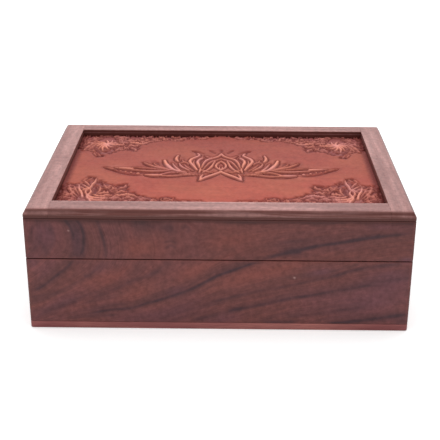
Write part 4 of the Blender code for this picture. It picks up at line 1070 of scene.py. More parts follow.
LOTUS_RIBBONS = (
    (1.9, 1.0, (0.6, 1.0, 0.6), ((-29.4, 11.2), (-28.5, 6.7), (-27.1, 2.5), (-25.4, -1.3), (-23.3, -3.8),
                                 (-21, -5.6))),
    (1.2, 0.75, (0.5, 1, 0.6), ((-25, 6.2), (-23.3, 0.8), (-21.5, -3.3), (-19.6, -6), (-17.4, -7.2))),
    (1.4, 0.85, (0.5, 1, 0.7), ((-22.7, 19.6), (-23.4, 15.8), (-23.2, 12.1), (-22.2, 9.6))),
    (1.1, 0.7, (0.6, 1, 0.6), ((-21.5, 6.3), (-20.8, 3.3), (-19.6, 0.4), (-17.9, -2), (-16, -4.4))),
    (0.9, 0.5, (0.6, 1, 0.6), ((-21.4, 6.6), (-19.4, 8.4), (-17.4, 7.2), (-16.8, 5))),
    (1.5, 0.95, (0.5, 1, 0.6), ((-12.5, 22.8), (-11.5, 20), (-13.1, 17.1), (-15.2, 14.2), (-16.2, 10.8),
                                (-15.6, 7.5), (-14.6, 4.2), (-13.3, 0.4), (-12.1, -3.3))),
    (1.4, 1.0, (0.5, 1, 0.5), ((-9.8, 15.6), (-11.5, 12.5), (-12.2, 9.2), (-11.8, 6.2), (-11.2, 3.2),
                               (-11, 0.4))),
    (1.0, 0.8, (0.6, 1, 0.6), ((-10.6, -0.4), (-10.5, -3.8), (-11, -7.2))),
    (1.2, 0.75, (0.9, 1, 0.5), ((0, 22.4), (-1.3, 18.9), (-2.9, 16.7), (-5.4, 14.6), (-7.3, 12.3),
                                (-8.5, 9.2), (-9.2, 5.8), (-9.6, 2.5), (-10, -0.6))),
    (1.0, 0.6, (0.6, 1, 0.5), ((0, 14.6), (-2.4, 12.2), (-5, 9.8), (-6.3, 7.2), (-7.3, 4), (-8.3, 0.4),
                               (-9.2, -3.4))),
    (1.1, 0.85, (0.5, 1, 0.5), ((-3.1, 10.6), (-3.9, 7), (-4.6, 2.9), (-5.6, -0.6), (-7.2, -4),
                                (-9.4, -7))),
    (1.0, 0.85, (0.6, 1, 0.8), ((0, 10.4), (-1.4, 7.6), (-2.3, 5.4), (-2.6, 2.9), (-2.2, 0.4),
                                (-0.8, -2.2), (0.6, -4.6))),
    (1.5, 0.85, (0.6, 1, 0.9), ((1, -1.2), (0.4, -4.4), (-0.6, -6.6), (-2.3, -8.6), (-4.4, -10.8),
                                (-6.8, -13.2), (-8.8, -15.4), (-10.2, -17.6))),
    (1.1, 0.9, (0.5, 1, 0.8), ((-8.9, -10.2), (-9.7, -12.4), (-10, -15), (-10.1, -17.4))),
    (1.2, 0.55, (0.4, 1, 0.6), ((-39.9, 7.4), (-37.5, 4.4), (-35, 1.9), (-32.1, -0.2), (-28.7, -2),
                                (-25.4, -3.6))),
    (0.9, 0.4, (0.5, 1, 0.5), ((-34.6, 6.4), (-33, 2.6), (-30.2, 0), (-27, -1.8))),
    (1.9, 0.8, (0.15, 0.7, 1.0), ((-54, -1), (-50.6, -1.6), (-47.6, -2), (-45.4, -2.2))),
    (1.3, 0.5, (0.6, 1, 0.5), ((-44.8, -4), (-40, -4.9), (-35, -5.7), (-29.6, -5.2), (-26.4, -3.9))),
    (0.9, 0.35, (0.5, 1, 0.5), ((-45, -0.9), (-38.3, -1.3), (-33.3, -2.4), (-28.6, -4))),
    (2.0, 0.65, (0.5, 1.0, 0.8), ((-37.6, -10.9), (-35.2, -11.2), (-32.6, -11.3), (-30, -11))),
    (0.9, 0.55, (0.8, 1, 0.4), ((-30.4, -11.7), (-25, -12.3), (-19.2, -10.9), (-15.4, -10))),
    (0.9, 0.5, (0.8, 1, 0.4), ((-30, -10.2), (-26.9, -7.9), (-24, -7), (-20.6, -7.8))),
    (0.7, 0.4, (0.6, 1, 0.6), ((-59.2, -0.6), (-56, -2.2), (-52.4, -5.2))),
    (0.8, 0.5, (0.5, 1, 0.5), ((-22, -7.2), (-18, -8.6), (-14.4, -9.8), (-11.6, -10.4))),
    (0.8, 0.45, (0.5, 1, 0.5), ((-21, -8.6), (-17, -10), (-13, -10.8))),
    (0.8, 0.5, (0.5, 1, 0.5), ((-18.8, 4.4), (-17.6, 1.2), (-16, -1.8), (-14, -5))),
    (0.9, 0.55, (0.5, 1, 0.5), ((-10.6, -2.4), (-8.4, -4.8), (-6, -6.6), (-4.2, -7.2))),
    (0.8, 0.6, (0.5, 1, 0.5), ((-0.8, 1.8), (-0.7, -0.6), (0, -3))),
    (0.8, 0.55, (0.5, 1, 0.5), ((-13.9, 12.6), (-14.3, 9.4), (-13.8, 5.4), (-12.8, 1.6))),
    (0.8, 0.45, (0.5, 1, 0.5), ((-20.2, 12.4), (-19.6, 9.8), (-18.6, 7.8))),
    (0.9, 0.4, (0.5, 1, 0.5), ((-8.4, 19), (-6.8, 16.8), (-5, 15.8))),
)
LOTUS_BEADS = ((-50.6, -5.5, 0.5), (-48.1, -6.7, 0.65), (-45.2, -8, 0.8), (-41.6, -9.1, 1.05))

# A corner spray, in millimetres from its flower's middle. X runs to the box's middle and Y to its middle line
SPRAY_DISCS = (
    (-9, -8, 12), (3, -8, 10), (-4, 2, 8), (0.6, 12.4, 2.4), (-0.6, 17.4, 1.8), (-7, 5, 5), (-11, 0, 7),
    (3.8, 11, 2.2),
    (7, 7.4, 3.2), (11, 4.4, 3.2), (15.8, 6.6, 2.7), (14.6, 1.4, 3.8), (10, -6, 9), (19, -6.4, 5.4),
    (23.4, -8.6, 4.4),
    (28, -10.4, 4), (32.8, -12.4, 3.6), (37.8, -9.6, 3.4), (41.8, -13, 2.6), (46.8, -12.6, 2.1),
    (52.4, -13.2, 2.2),
    (-13, -14, 12), (0, -20, 11), (14, -20, 11), (28, -22, 10), (42, -22, 8), (54, -21, 6.5),
)
SPRAY_FLOWER = (
    (1.3, 0.9, (0.5, 1, 0.8), ((1.8, 16), (1.6, 13.5), (0.9, 9.5), (0.3, 5.5), (-0.6, 2.6))),
    (1.2, 0.8, (0.6, 1, 0.6), ((-0.4, 3), (-1.2, 1.2), (-1.3, -0.8), (-0.5, -2.8), (0.3, -4.2))),
    (1.2, 0.9, (0.6, 1, 0.6), ((0.2, 4), (0.9, 1.4), (1.3, -0.6), (0.8, -2.6), (0.6, -4.6), (1.6, -7.2),
                               (3.6, -9.6))),
    (1.5, 1.0, (0.4, 1, 0.7), ((-5.6, 8), (-5, 4.6), (-4.4, 2), (-3.2, -0.8), (-2.4, -4), (-1.9, -7))),
    (1.2, 0.9, (0.6, 1, 0.8), ((-0.4, -3.6), (0.2, -6), (1, -8.6), (2.4, -11.6), (4, -17))),
    (1.1, 0.6, (0.4, 1, 0.6), ((4.6, 7.4), (5.4, 4), (5.2, 0.6), (4.4, -2.4))),
    (1.6, 0.95, (0.7, 1, 0.5), ((0.6, -5.4), (3, -7.4), (6.4, -8.4), (10, -8.6))),
    (1.4, 0.9, (0.6, 1, 0.5), ((0.4, -8), (3.6, -10.4), (8, -11.4))),
    (1.4, 0.95, (0.8, 1, 0.6), ((0.8, -3.6), (0.2, -6), (0.8, -9))),
    (1.2, 0.85, (0.5, 1, 0.5), ((2.6, -3.4), (5, -5.4), (8.4, -6))),
    (1.2, 0.8, (0.5, 1, 0.6), ((-3.4, 1.4), (-1.8, 3), (-0.6, 5.6))),
    (1.1, 0.7, (0.4, 1, 0.8), ((-3.6, 13.4), (-2.2, 11), (-0.6, 8.2))),
    (1.1, 0.8, (0.4, 1, 0.8), ((-4.6, 9.6), (-2.8, 7.6), (-0.8, 4.8))),
    (1.0, 0.6, (0.4, 1, 0.8), ((-5.8, 6.4), (-3.6, 5), (-1.8, 2.2))),
)
SPRAY_RIBBONS = (
    (1.0, 0.3, (0.5, 1, 0.6), ((-2.6, 17.6), (-3.6, 15.4), (-4.4, 13.4))),
    (1.0, 0.3, (0.5, 1, 0.6), ((-0.2, 18.6), (-0.8, 16.8), (-1.8, 15.2))),
    (1.4, 0.7, (0.4, 1, 0.5), ((5.2, -2.9), (7.2, -1.5), (9.8, -1.6))),
    (1.5, 0.5, (0.4, 1, 0.5), ((6.6, -5.7), (9.4, -4.7), (12, -5.3))),
    (1.1, 0.5, (0.5, 1, 0.5), ((10.4, 1.8), (11.4, 4.2), (10.8, 6.4))),
    (1.3, 0.6, (0.5, 1, 0.5), ((13.6, -2), (15.6, 0.8), (17.6, 0))),
    (1.4, 0.8, (0.5, 1, 0.5), ((13, -4.9), (16, -4.5), (18.4, -3.2), (20.6, -3.6), (22, -5.2))),
    (1.3, 0.5, (0.5, 1, 0.5), ((9.8, -8.9), (13, -7.7), (16.4, -8.6))),
    (1.3, 0.4, (0.5, 1, 0.5), ((17.6, -8), (20.2, -7.2), (22.6, -8.8))),
    (1.2, 0.35, (0.5, 1, 0.5), ((22.8, -5.6), (24.4, -7), (26.6, -6.8))),
    (1.3, 0.3, (0.5, 1, 0.5), ((24.6, -9.6), (27.3, -8.2), (30, -9.6))),
    (1.2, 0.35, (0.5, 1, 0.5), ((6.4, 9.2), (7.8, 7), (10, 7.2))),
    (1.1, 0.35, (0.5, 1, 0.5), ((7, 3.2), (8.6, 4.6), (9.8, 3.2))),
    (1.4, 0.35, (0.5, 1, 0.5), ((14.2, 3.6), (16.4, 5.6), (17.2, 8.8))),
    (1.2, 0.45, (0.5, 1, 0.5), ((-10.8, 7.8), (-9.4, 4), (-8.2, 0.5), (-6.4, -2.7), (-4.4, -6))),
    (1.1, 0.4, (0.5, 1, 0.5), ((-8, 7.4), (-6.8, 3.6), (-5.6, 0.2), (-4, -3.4))),
    (1.2, 0.3, (0.5, 1, 0.5), ((-12.4, 1), (-10, -2.2), (-7.4, -4.8), (-5, -8))),
    (1.2, 0.25, (0.5, 1, 0.5), ((-12.6, -5.6), (-9.4, -7.6), (-6, -9.8), (-3, -12.4))),
    (1.1, 0.4, (0.5, 1, 0.5), ((5.6, -8.2), (7.8, -9.6), (10.4, -10.4))),
)
SPRAY_GROOVES = (
    (1.5, 1.0, ((-1.6, 19.6), (-2.2, 18.2), (-2.6, 16.6))),
    (1.4, 1.0, ((1.2, 18.8), (0.4, 17.4), (0, 16))),
    (1.3, 0.9, ((3, 14.4), (4.2, 14.2), (5.2, 12))),
    (1.2, 1.0, ((0, 0.8), (0, -0.4), (0, -1.6))),
    (1.3, 1.0, ((-2.8, 12.4), (-1.4, 10.2), (-0.4, 8.4))),
    (1.3, 1.0, ((-4.2, 8.2), (-2.4, 6.4), (-1.2, 4.8))),
    (1.4, 1.0, ((-3.4, 3.6), (-2.8, 1), (-1.9, -1.8), (-1.2, -5))),
    (1.4, 1.0, ((3, 8), (3.4, 4.6), (3.1, 1), (2.6, -2.4), (3, -5.6))),
    (1.9, 1.0, ((6.6, 1.6), (8, 2.4), (9.2, 1.2))),
    (1.7, 1.0, ((8, -3.4), (10.4, -2.9), (12.6, -3.4))),
    (1.8, 1.0, ((5.8, -6.9), (8.2, -6.6), (11.8, -6.6))),
    (1.9, 0.9, ((12.4, 1.4), (14.4, 3), (15.4, 1.4))),
    (1.7, 0.9, ((15.2, -0.6), (17, -2.2), (17.2, -0.2))),
    (1.6, 0.9, ((15.8, 9.8), (16.9, 9.2), (17.8, 10.4))),
    (1.6, 0.9, ((7.6, 6), (9.8, 6.1), (12, 6))),
    (1.8, 0.9, ((16, -9.6), (18.6, -9.4), (21, -10.2))),
    (1.6, 0.9, ((19.6, -2.2), (21, -3.2), (21.6, -2))),
    (1.6, 0.9, ((22.6, -3.6), (23.6, -5), (24.8, -4.4))),
    (1.6, 0.9, ((6.4, -10.8), (9, -11.6), (12, -11.4))),
)
SPRAY_SCROLLS = (
    (37.9, -9.6, 2.6, 0.45), (32.2, -10.6, 1.5, 0.3), (46.8, -11.6, 1.2, 0.3), (51.4, -12, 1.2, 0.3),
    (27, -9.8, 1.6, 0.3), (53.6, -12.4, 1.2, 0.25), (42.4, -12.2, 1.6, 0.3),
)
# The flower of a back corner is a star: its middle, the ends of its rays and how they are cut
STAR_MIDDLE = (0.8, -2.1)
STAR_RAYS = (
    (-5.4, 2.9), (-3.8, 7.1), (-0.9, 11.4), (2.0, 8.6), (4.0, 5.4), (6.4, 0.7), (5.2, -3.4), (2.4, -6.2),
    (-1.2, -6.6), (-5.8, -3.6), (-6.8, 0.2),
)
STAR_STROKE = (1.25, 1.0, (0.9, 1, 0.4))
STAR_BEND = 0.12  # how far to one side a ray's middle lies, as a share of its length
SCROLL_TURNS, SCROLL_START = 1.4, 2.4  # a scroll's turns, and the angle at which it starts
SCROLL_WIDTH, SCROLL_TAPER = 0.75, (0.7, 1, 0.7)
SCROLL_SHRINK, SCROLL_POINTS = 0.8, 30  # the share of its radius that it loses, and its points
# The small leaves of a spray
SCATTERED_LEAVES = 520
LEAF_LENGTHS, LEAF_WIDTHS, LEAF_LIGHTS = (1.0, 2.6), (0.7, 1.3), (0.05, 0.5)
LEAF_BEND, LEAF_SPREAD = 0.7, 0.8
LEAF_ORIGIN = -4  # they point away from this place on the flower's axis
FLOWER_HALF_WIDTH, FLOWER_FOOT = 5, -14  # the room that they leave for the flower
# Short cuts tried round a spray, of which those on its outer edge are kept
EDGE_DASHES = 260
DASH_REACHES, DASH_SPREAD = (0.8, 1.7), 1.2
DASH_WIDTH, DASH_DEPTH = 1.5, 0.9
DASH_INSIDE = 0.4  # the middle of one lies no further inside than this
SCATTER_SEED = 11
# The lowered ground: its slope, and the line cut along its edge
GROUND_SLOPE = 0.5
GROUND_LINE_DEPTH, GROUND_LINE_INSET, GROUND_LINE_WIDTH = 0.12, 0.7, 0.6
# The lotus is cut a little broader than its table says, and painted shade lies round its ribs
LOTUS_GROOVE_WIDTH, LOTUS_RIB_WIDTH = 1.1, 1.2
LOTUS_SIDE_DEPTH, LOTUS_RIB_SHADE = 1.15, 0.55
# The painted shadow of the frame on the panel's field, with some dirt in its corner, falls to a third over
# the first width. The one along the side rails is solid for the second and fades out over the third.
EDGE_SHADOW_REACH, SIDE_SHADOW_SOLID, SIDE_SHADOW_FADE = 1.4, 1.68, 2.4
EDGE_SHADOW_DARKNESS, SIDE_SHADOW_DARKNESS = 0.85, 0.95
LOTUS_UPPER_SHARE = 0.93  # what lies above the lotus's middle is this share of its height in the tables
SPRAY_CENTRE_X = -63.3
SPRAY_CENTRES_Y = (-32.1, 35.9)
CARVING_SHIFT = 1.4  # how much further back the lotus lies than in its tables
FIELD_WAVER = 0.02  # how much the plain field rises and falls, in millimetres
FIELD_WAVES = (7.1, 5.3)  # how far along X and Y it takes to do so by one radian
RIB_SHARE = 0.55  # how much of the ground's depth a rib takes back
RIB_CLEARING = 0.5  # how much of the ground's stain it takes off


def headings(angle):
    """Steps of one unit in the directions of some angles."""
    return np.stack([np.cos(angle), np.sin(angle)], -1)


def spiral(place, radius):
    """A scroll whose radius falls evenly as it winds in."""
    share = np.linspace(0, 1, SCROLL_POINTS)
    reach = radius * (1 - SCROLL_SHRINK * share)
    return place + reach[:, None] * headings(2 * math.pi * SCROLL_TURNS * share + SCROLL_START)


def scattered_leaves(discs):
    """Short curved strokes for the small leaves inside a row of discs, without the flower's own room.

    Each starts at a seeded place in a disc, points away from the flower within half a right angle, and
    bends to one side.
    """
    rng = np.random.default_rng(SCATTER_SEED)
    discs = np.array(discs)
    found = discs[rng.choice(len(discs), SCATTERED_LEAVES, p=discs[:, 2] ** 2 / (discs[:, 2] ** 2).sum())]
    angle = rng.uniform(0, 2 * math.pi, SCATTERED_LEAVES)
    reach = found[:, 2] * np.sqrt(rng.uniform(0, 1, SCATTERED_LEAVES))
    start = found[:, :2] + headings(angle) * reach[:, None]
    start = start[(np.abs(start[:, 0]) > FLOWER_HALF_WIDTH) | (start[:, 1] < FLOWER_FOOT)]
    count = len(start)
    aim = np.arctan2(start[:, 1] - LEAF_ORIGIN, start[:, 0]) + rng.uniform(-LEAF_SPREAD, LEAF_SPREAD, count)
    bend = rng.choice((-LEAF_BEND, LEAF_BEND), count)
    half_length = rng.uniform(*LEAF_LENGTHS, count)[:, None] / 2
    middle = start + headings(aim + bend) * half_length
    paths = np.stack([start, middle, middle + headings(aim + 2 * bend) * half_length], 1)
    return zip(paths, rng.uniform(*LEAF_WIDTHS, count), rng.uniform(*LEAF_LIGHTS, count))


def edge_dashes(discs):
    """Short cuts across the outer edge of a row of discs, at seeded places and within a right angle of
    straight out, which make the edge ragged."""
    rng = np.random.default_rng(SCATTER_SEED)
    discs = np.array(discs)
    found = discs[rng.choice(len(discs), EDGE_DASHES, p=discs[:, 2] / discs[:, 2].sum())]
    angle = rng.uniform(0, 2 * math.pi, EDGE_DASHES)
    place = found[:, :2] + found[:, 2:] * headings(angle)
    inside = discs[:, 2] - np.linalg.norm(place[:, None] - discs[:, :2], axis=2)
    aim = angle + rng.uniform(-DASH_SPREAD, DASH_SPREAD, EDGE_DASHES)
    reach = rng.uniform(*DASH_REACHES, EDGE_DASHES)[:, None] * headings(aim)
    return np.stack([place - reach, place, place + reach], 1)[inside.max(1) < DASH_INSIDE]


def star_strokes():
    """The rays of a back corner's flower, each with its middle a little to one side."""
    rays = np.array(STAR_RAYS)
    across = np.stack([-rays[:, 1], rays[:, 0]], -1)
    shares = (np.zeros_like(rays), 0.5 * rays + STAR_BEND * across, rays)
    return [(*STAR_STROKE, points) for points in np.array(STAR_MIDDLE) + np.stack(shares, 1)]


def carve_lotus(patch):
    """Cuts the left half of the lotus in the middle of the panel."""

    def placed(points):
        points = np.array(points, float)
        points[:, 1] = CARVING_SHIFT + np.minimum(points[:, 1], LOTUS_UPPER_SHARE * points[:, 1])
        return points

    for width, depth, points in LOTUS_GROOVES:
        patch.groove(placed(points), LOTUS_GROOVE_WIDTH * width, depth)
    for width, depth, points in LOTUS_DIPS:
        patch.dip(placed(points), width, depth)
    for width, bright, taper, points in LOTUS_RIBBONS:
        width *= LOTUS_RIB_WIDTH
        patch.ribbon(placed(points), width, bright, taper, beside=LOTUS_SIDE_DEPTH, tint=LOTUS_RIB_SHADE)
    for x, y, radius in LOTUS_BEADS:
        patch.bead((x, y + CARVING_SHIFT), radius)


def carve_spray(patch, centre_y, flip):
    """Cuts a corner's flower and leaves. The flip is one at the front and minus one at the back."""

    def placed(points):
        return np.array([SPRAY_CENTRE_X, centre_y]) + np.array(points) * (1, flip)

    patch.lower([(*placed(disc[:2]), disc[2]) for disc in SPRAY_DISCS])
    for path, width, bright in scattered_leaves(SPRAY_DISCS):
        patch.ribbon(placed(path), width, bright, samples=8, beside=LEAF_SIDE_DEPTH)
    for width, depth, points in SPRAY_GROOVES:
        patch.groove(placed(points), width, depth)
    for path in edge_dashes(SPRAY_DISCS):
        patch.groove(placed(path), DASH_WIDTH, DASH_DEPTH, samples=8)
    for x, y, radius, bright in SPRAY_SCROLLS:
        patch.ribbon(spiral(placed((x, y)), radius), SCROLL_WIDTH, bright, SCROLL_TAPER)
    flower = star_strokes() if flip < 0 else SPRAY_FLOWER
    for width, bright, taper, points in (*SPRAY_RIBBONS, *flower):
        patch.ribbon(placed(points), width, bright, taper)


def mirrored(half_grid):
    """A grid of the left half and its middle line, with its mirror image added on the right."""
    return np.concatenate([half_grid, half_grid[:-1][::-1]])


def carved_surface(x, y, sizes):
    """The panel's height above its field, and how much of each point is ridge, hollow and ground. The ridge
    carries a painted highlight, and the hollow painted shade and the frame's painted shadow besides its
    stain.

    The left half is carved and the right half is its mirror image.
    """
    half = len(x) // 2 + 1
    patch = CarvedPatch(x[:half] / MM, y / MM)
    for centre_y, flip in zip(SPRAY_CENTRES_Y, (1, -1)):
        carve_spray(patch, centre_y, flip)
    carve_lotus(patch)
    grid_x, grid_y = np.meshgrid(patch.x, patch.y, indexing="ij")
    plain = 1 - patch.rib
    # painted shadow of the frame along the field's edges, with some dirt
    edge = np.minimum(grid_x - grid_x.min(), np.minimum(grid_y - grid_y.min(), grid_y.max() - grid_y))
    beside = OPENING_HALF_WIDTH / MM + grid_x
    side = SIDE_SHADOW_DARKNESS * np.clip(1 - (beside - SIDE_SHADOW_SOLID) / SIDE_SHADOW_FADE, 0, 1)
    frame_shadow_and_dirt = np.maximum(EDGE_SHADOW_DARKNESS * np.exp(-edge / EDGE_SHADOW_REACH), side)
    height = (
        sizes.ridge_height * patch.rib
        - sizes.groove_depth * patch.cut * plain
        - sizes.ground_depth * patch.sunk * (1 - RIB_SHARE * patch.rib)
    )
    long, short = FIELD_WAVES
    waver = FIELD_WAVER * MM * np.sin(grid_x / long) * np.sin(grid_y / short)
    ground = patch.sunk * (1 - RIB_CLEARING * patch.rib)
    # hollow: the grooves' stain, painted shade round the carving and the frame's painted shadow
    hollow = np.maximum(np.clip(np.maximum(patch.cut, patch.shade) * plain, 0, 1), frame_shadow_and_dirt)
    layers = {"ridge": patch.lit, "hollow": hollow, "ground": ground}
    return mirrored(height + waver), {name: mirrored(values) for name, values in layers.items()}


def panel_mesh(sizes):
    """The carved panel: its field as a grid of heights, then down its sides and out to its tongue."""
    half = np.array([OPENING_HALF_WIDTH, OPENING_HALF_DEPTH]) - PANEL_PLAY
    x, y = (np.linspace(-reach, reach, count) for reach, count in zip(half, PANEL_GRID))
    field = BOX_TOP - PANEL_RECESS
    height, layers = carved_surface(x, y, sizes)
    grid_x, grid_y = np.meshgrid(x, y, indexing="ij")
    points = np.stack([grid_x, grid_y, field + height], -1).reshape(-1, 3)
    rows, columns = grid_x.shape
    index = np.arange(rows * columns).reshape(rows, columns)
    rim = np.concatenate([index[:-1, 0], index[-1, :-1], index[:0:-1, -1], index[0, :0:-1]])
    edge = points[rim, :2]
    tongue = edge / half * PANEL_HIGH[:2]
    levels = [(edge, LID_WALL_TOP), (tongue, LID_WALL_TOP), (tongue, PANEL_LOW[2])]
    below = [np.column_stack([plan, np.full(len(plan), level)]) for plan, level in levels]
    lower_rings = len(points) + np.arange(len(rim) * len(levels)).reshape(len(levels), -1)
    rings = np.concatenate([rim[None], lower_rings])
    around = np.roll(rings, -1, 1)
    skirt = np.stack([rings[:-1], around[:-1], around[1:], rings[1:]], -1).reshape(-1, 4)
    all_points = np.concatenate([points, *below])
    quads = np.concatenate([grid_quads(rows, columns), skirt])
    extra = len(all_points) - len(points)
    flat = {name: np.append(values.ravel(), np.zeros(extra)) for name, values in layers.items()}
    return solid_mesh("carved_panel", all_points, quads, [rings[-1]], flat, PANEL_SHARP_ANGLE)


# Linings and pads
CLOTH_GAP = 1.2 * MM
CLOTH_POINTS = (8, 120)  # the fewest and the most points across a slab
CROWDING = 0.55  # how much a slab's points crowd towards its edges, from none to a sine's
LINING_SOFTNESS, LINING_CROWN = 1.2 * MM, 0.05
PAD_SOFTNESS, PAD_CROWN = 2.4 * MM, 0.14
CLOTH_SHARP_ANGLE = math.radians(60)


def soft_slab(name, low, high, face, soft, crown):
    """A cloth covered slab: flat at its back and rounded towards one face.

    The thickness rises from nought at the four edges as a quarter circle does, over the soft width. With u
    and v running from minus one to one across the face, the crown's share of it follows one minus u
    squared times one minus v squared, so it is full in the middle. The face is an axis number and a
    direction.
    """
    axis, direction = face
    across = [number for number in range(3) if number != axis]
    size = high - low
    counts = np.clip(size[across] / CLOTH_GAP, *CLOTH_POINTS).astype(int)
    even = [np.linspace(-1, 1, count) for count in counts]
    shares = [CROWDING * np.sin(share * math.pi / 2) + (1 - CROWDING) * share for share in even]
    u, v = np.meshgrid(*shares, indexing="ij")
    reach = [size[number] / 2 for number in across]
    falls = [np.clip((1 - np.abs(value)) * half / soft, 0, 1) for value, half in zip((u, v), reach)]
    rounding = [np.sqrt(np.clip(1 - (1 - fall) ** 2, 0, 1)) for fall in falls]
    thick = size[axis] * rounding[0] * rounding[1] * (1 - crown + crown * (1 - u**2) * (1 - v**2))
    middle = (low + high) / 2
    back = low[axis] if direction > 0 else high[axis]
    face_points = np.empty((*u.shape, 3))
    for number, value, half in zip(across, (u, v), reach):
        face_points[..., number] = middle[number] + value * half
    face_points[..., axis] = back + direction * thick
    rows, columns = u.shape
    flat_points = face_points[1:-1, 1:-1].copy()
    flat_points[..., axis] = back
    count = rows * columns
    behind = np.arange(count).reshape(rows, columns)
    behind[1:-1, 1:-1] = count + np.arange((rows - 2) * (columns - 2)).reshape(rows - 2, columns - 2)
    rear = grid_quads(rows, columns)
    quads = np.concatenate([rear[:, [0, 3, 2, 1]], behind.ravel()[rear]])
    points = np.concatenate([face_points.reshape(-1, 3), flat_points.reshape(-1, 3)])
    return solid_mesh(name, points, quads, sharp=CLOTH_SHARP_ANGLE)


# Operators
def sizes_now():
    """The box's size settings."""
    return bpy.context.scene.card_box_sizes


def colours_now():
    """Its colour settings."""
    return bpy.context.scene.card_box_colours


def wall_section(foot, top, foot_ease, top_ease, gap, ledge=None, groove=None):
    """A wall's section of depth and height. A ledge gives it a rebate inside its top edge, and a groove
    says which of its edges, top or foot, is bevelled at the back of the seam."""
    corners = [(0, foot, foot_ease), (WALL_THICKNESS, foot, foot_ease)]
    if ledge is None:
        corners += [(WALL_THICKNESS, top, top_ease)]
    else:
        rebate = WALL_THICKNESS - REBATE_WIDTH
        places = ((WALL_THICKNESS, ledge), (rebate, ledge), (rebate, top))
        corners += [(*place, REBATE_EASE) for place in places]
    corners += [(0, top, top_ease)]
    face_ease, rim_ease = GROOVE_EASES
    if groove == "top":
        depth, reach = groove_bevel(top)
        corners[-1:] = [(depth, top, rim_ease), (0, top - reach, face_ease)]
    if groove == "foot":
        depth, reach = groove_bevel(foot)
        corners[:1] = [(0, foot + reach, face_ease), (depth, foot, rim_ease)]
    corners = np.array(corners)
    return subdivided(eased_outline(corners[:, :2], corners[:, 2]), gap)


def groove_bevel(rim):
    """How deep and how tall the back groove is at a rim: its faces slope by half the stop's angle and
    pass just behind the hinge axis."""
    slope = math.tan(STOP_OPENING / 2)
    apex = HALF_DEPTH - HINGE_AXIS[1] + GROOVE_PLAY / math.sin(STOP_OPENING / 2)
    off = abs(rim - SEAM_HEIGHT)
    return apex - off / slope, apex * slope - off


def groove_cutter():
    """The V along the back of the seam, as a solid to cut the side walls' ends with."""
    slope = math.tan(STOP_OPENING / 2)
    apex = HINGE_AXIS[1] - GROOVE_PLAY / math.sin(STOP_OPENING / 2)
    rise = GROOVE_REACH_BACK * slope
    behind = apex + GROOVE_REACH_BACK
    triangle = [(apex, SEAM_HEIGHT), (behind, SEAM_HEIGHT - rise), (behind, SEAM_HEIGHT + rise)]
    past = HALF_WIDTH + CUTTER_EXCESS
    return cutter_from("back_groove", triangle, (-past, past))


def mortise_cutters():
    """For each hinge, a solid to cut with: the bed of its leaves and the taller slot of its barrel."""
    found = []
    for side in ("left", "right"):
        low, high = corners_of(f"{side}_hinge_tray_leaf")
        radius = high[1] - HINGE_AXIS[1] + MORTISE_PLAY
        bed, slot, past = low[1] - MORTISE_PLAY, HINGE_AXIS[1] - radius, HALF_DEPTH + CUTTER_EXCESS
        upper = [(past, radius), (slot, radius), (slot, MORTISE_BED), (bed, MORTISE_BED)]
        outline = np.array(upper + [(y, -z) for y, z in upper[::-1]]) + (0, SEAM_HEIGHT)
        ends = (low[0] - MORTISE_PLAY, high[0] + MORTISE_PLAY)
        found.append(cutter_from(f"{side}_mortise", outline, ends))
    return found


class CARDBOX_OT_walls(bpy.types.Operator):
    """Make the base board and the four mitred walls of the tray and the lid"""

    bl_idname = "cardbox.walls"
    bl_label = "Walls and base"

    def execute(self, context):
        sizes, colours = sizes_now(), colours_now()
        closed = (TRAY_FOOT - BASE_TOP - sizes.glue_line) / 2
        finishes = {side: wall_finish(colours, f"rosewood_{side}", BOARD_GRAINS.get(side)) for side in SIDES}
        ledge = PANEL_LOW[2] - REBATE_PLAY
        halves = {
            "tray": ((TRAY_FOOT - closed, TRAY_RIM, sizes.base_ease, sizes.seam_ease), None, "top"),
            "lid": ((LID_RIM, LID_WALL_TOP + closed, sizes.seam_ease, sizes.joint_ease), ledge, "foot"),
        }
        groove = groove_cutter()
        mortises = mortise_cutters()
        for half, (span, rebate, groove_end) in halves.items():
            for side, finish in finishes.items():
                name = f"{half}_{side}_wall"
                gap = FIGURE_GAP if side == "front" else POINT_GAP
                section = wall_section(*span, gap, rebate, groove_end if side == "back" else None)
                points, worn = mitred_board(side, section, sizes.arris, sizes.glue_line, gap)
                layers = {"edge": worn}
                if side == "front":
                    layers |= front_figure(points)
                wall = add_piece(name, swept_mesh(name, points, layers), finish, half)
                if side in ("left", "right"):
                    cut_away(wall, [groove])
                if side == "back":
                    cut_away(wall, mortises)
        for cutter in [groove, *mortises]:
            bpy.data.objects.remove(cutter)
        light, dark = colours.base_light, colours.base_dark
        parts = rosewood("rosewood_base", light, dark, dark, BOARD_GRAINS["base_board"], BASE_CONTRAST)
        base_finish = finish_wood(parts, light)
        low, high = corners_of("base_board")
        high[2] += closed
        edges = [(arc(BASE_FOOT_ROUND), arc(sizes.base_ease))] * 4
        mesh = plank_mesh("base_board", low, high, edges, [sizes.arris] * 4)
        add_piece("base_board", mesh, base_finish, "tray")
        return {"FINISHED"}


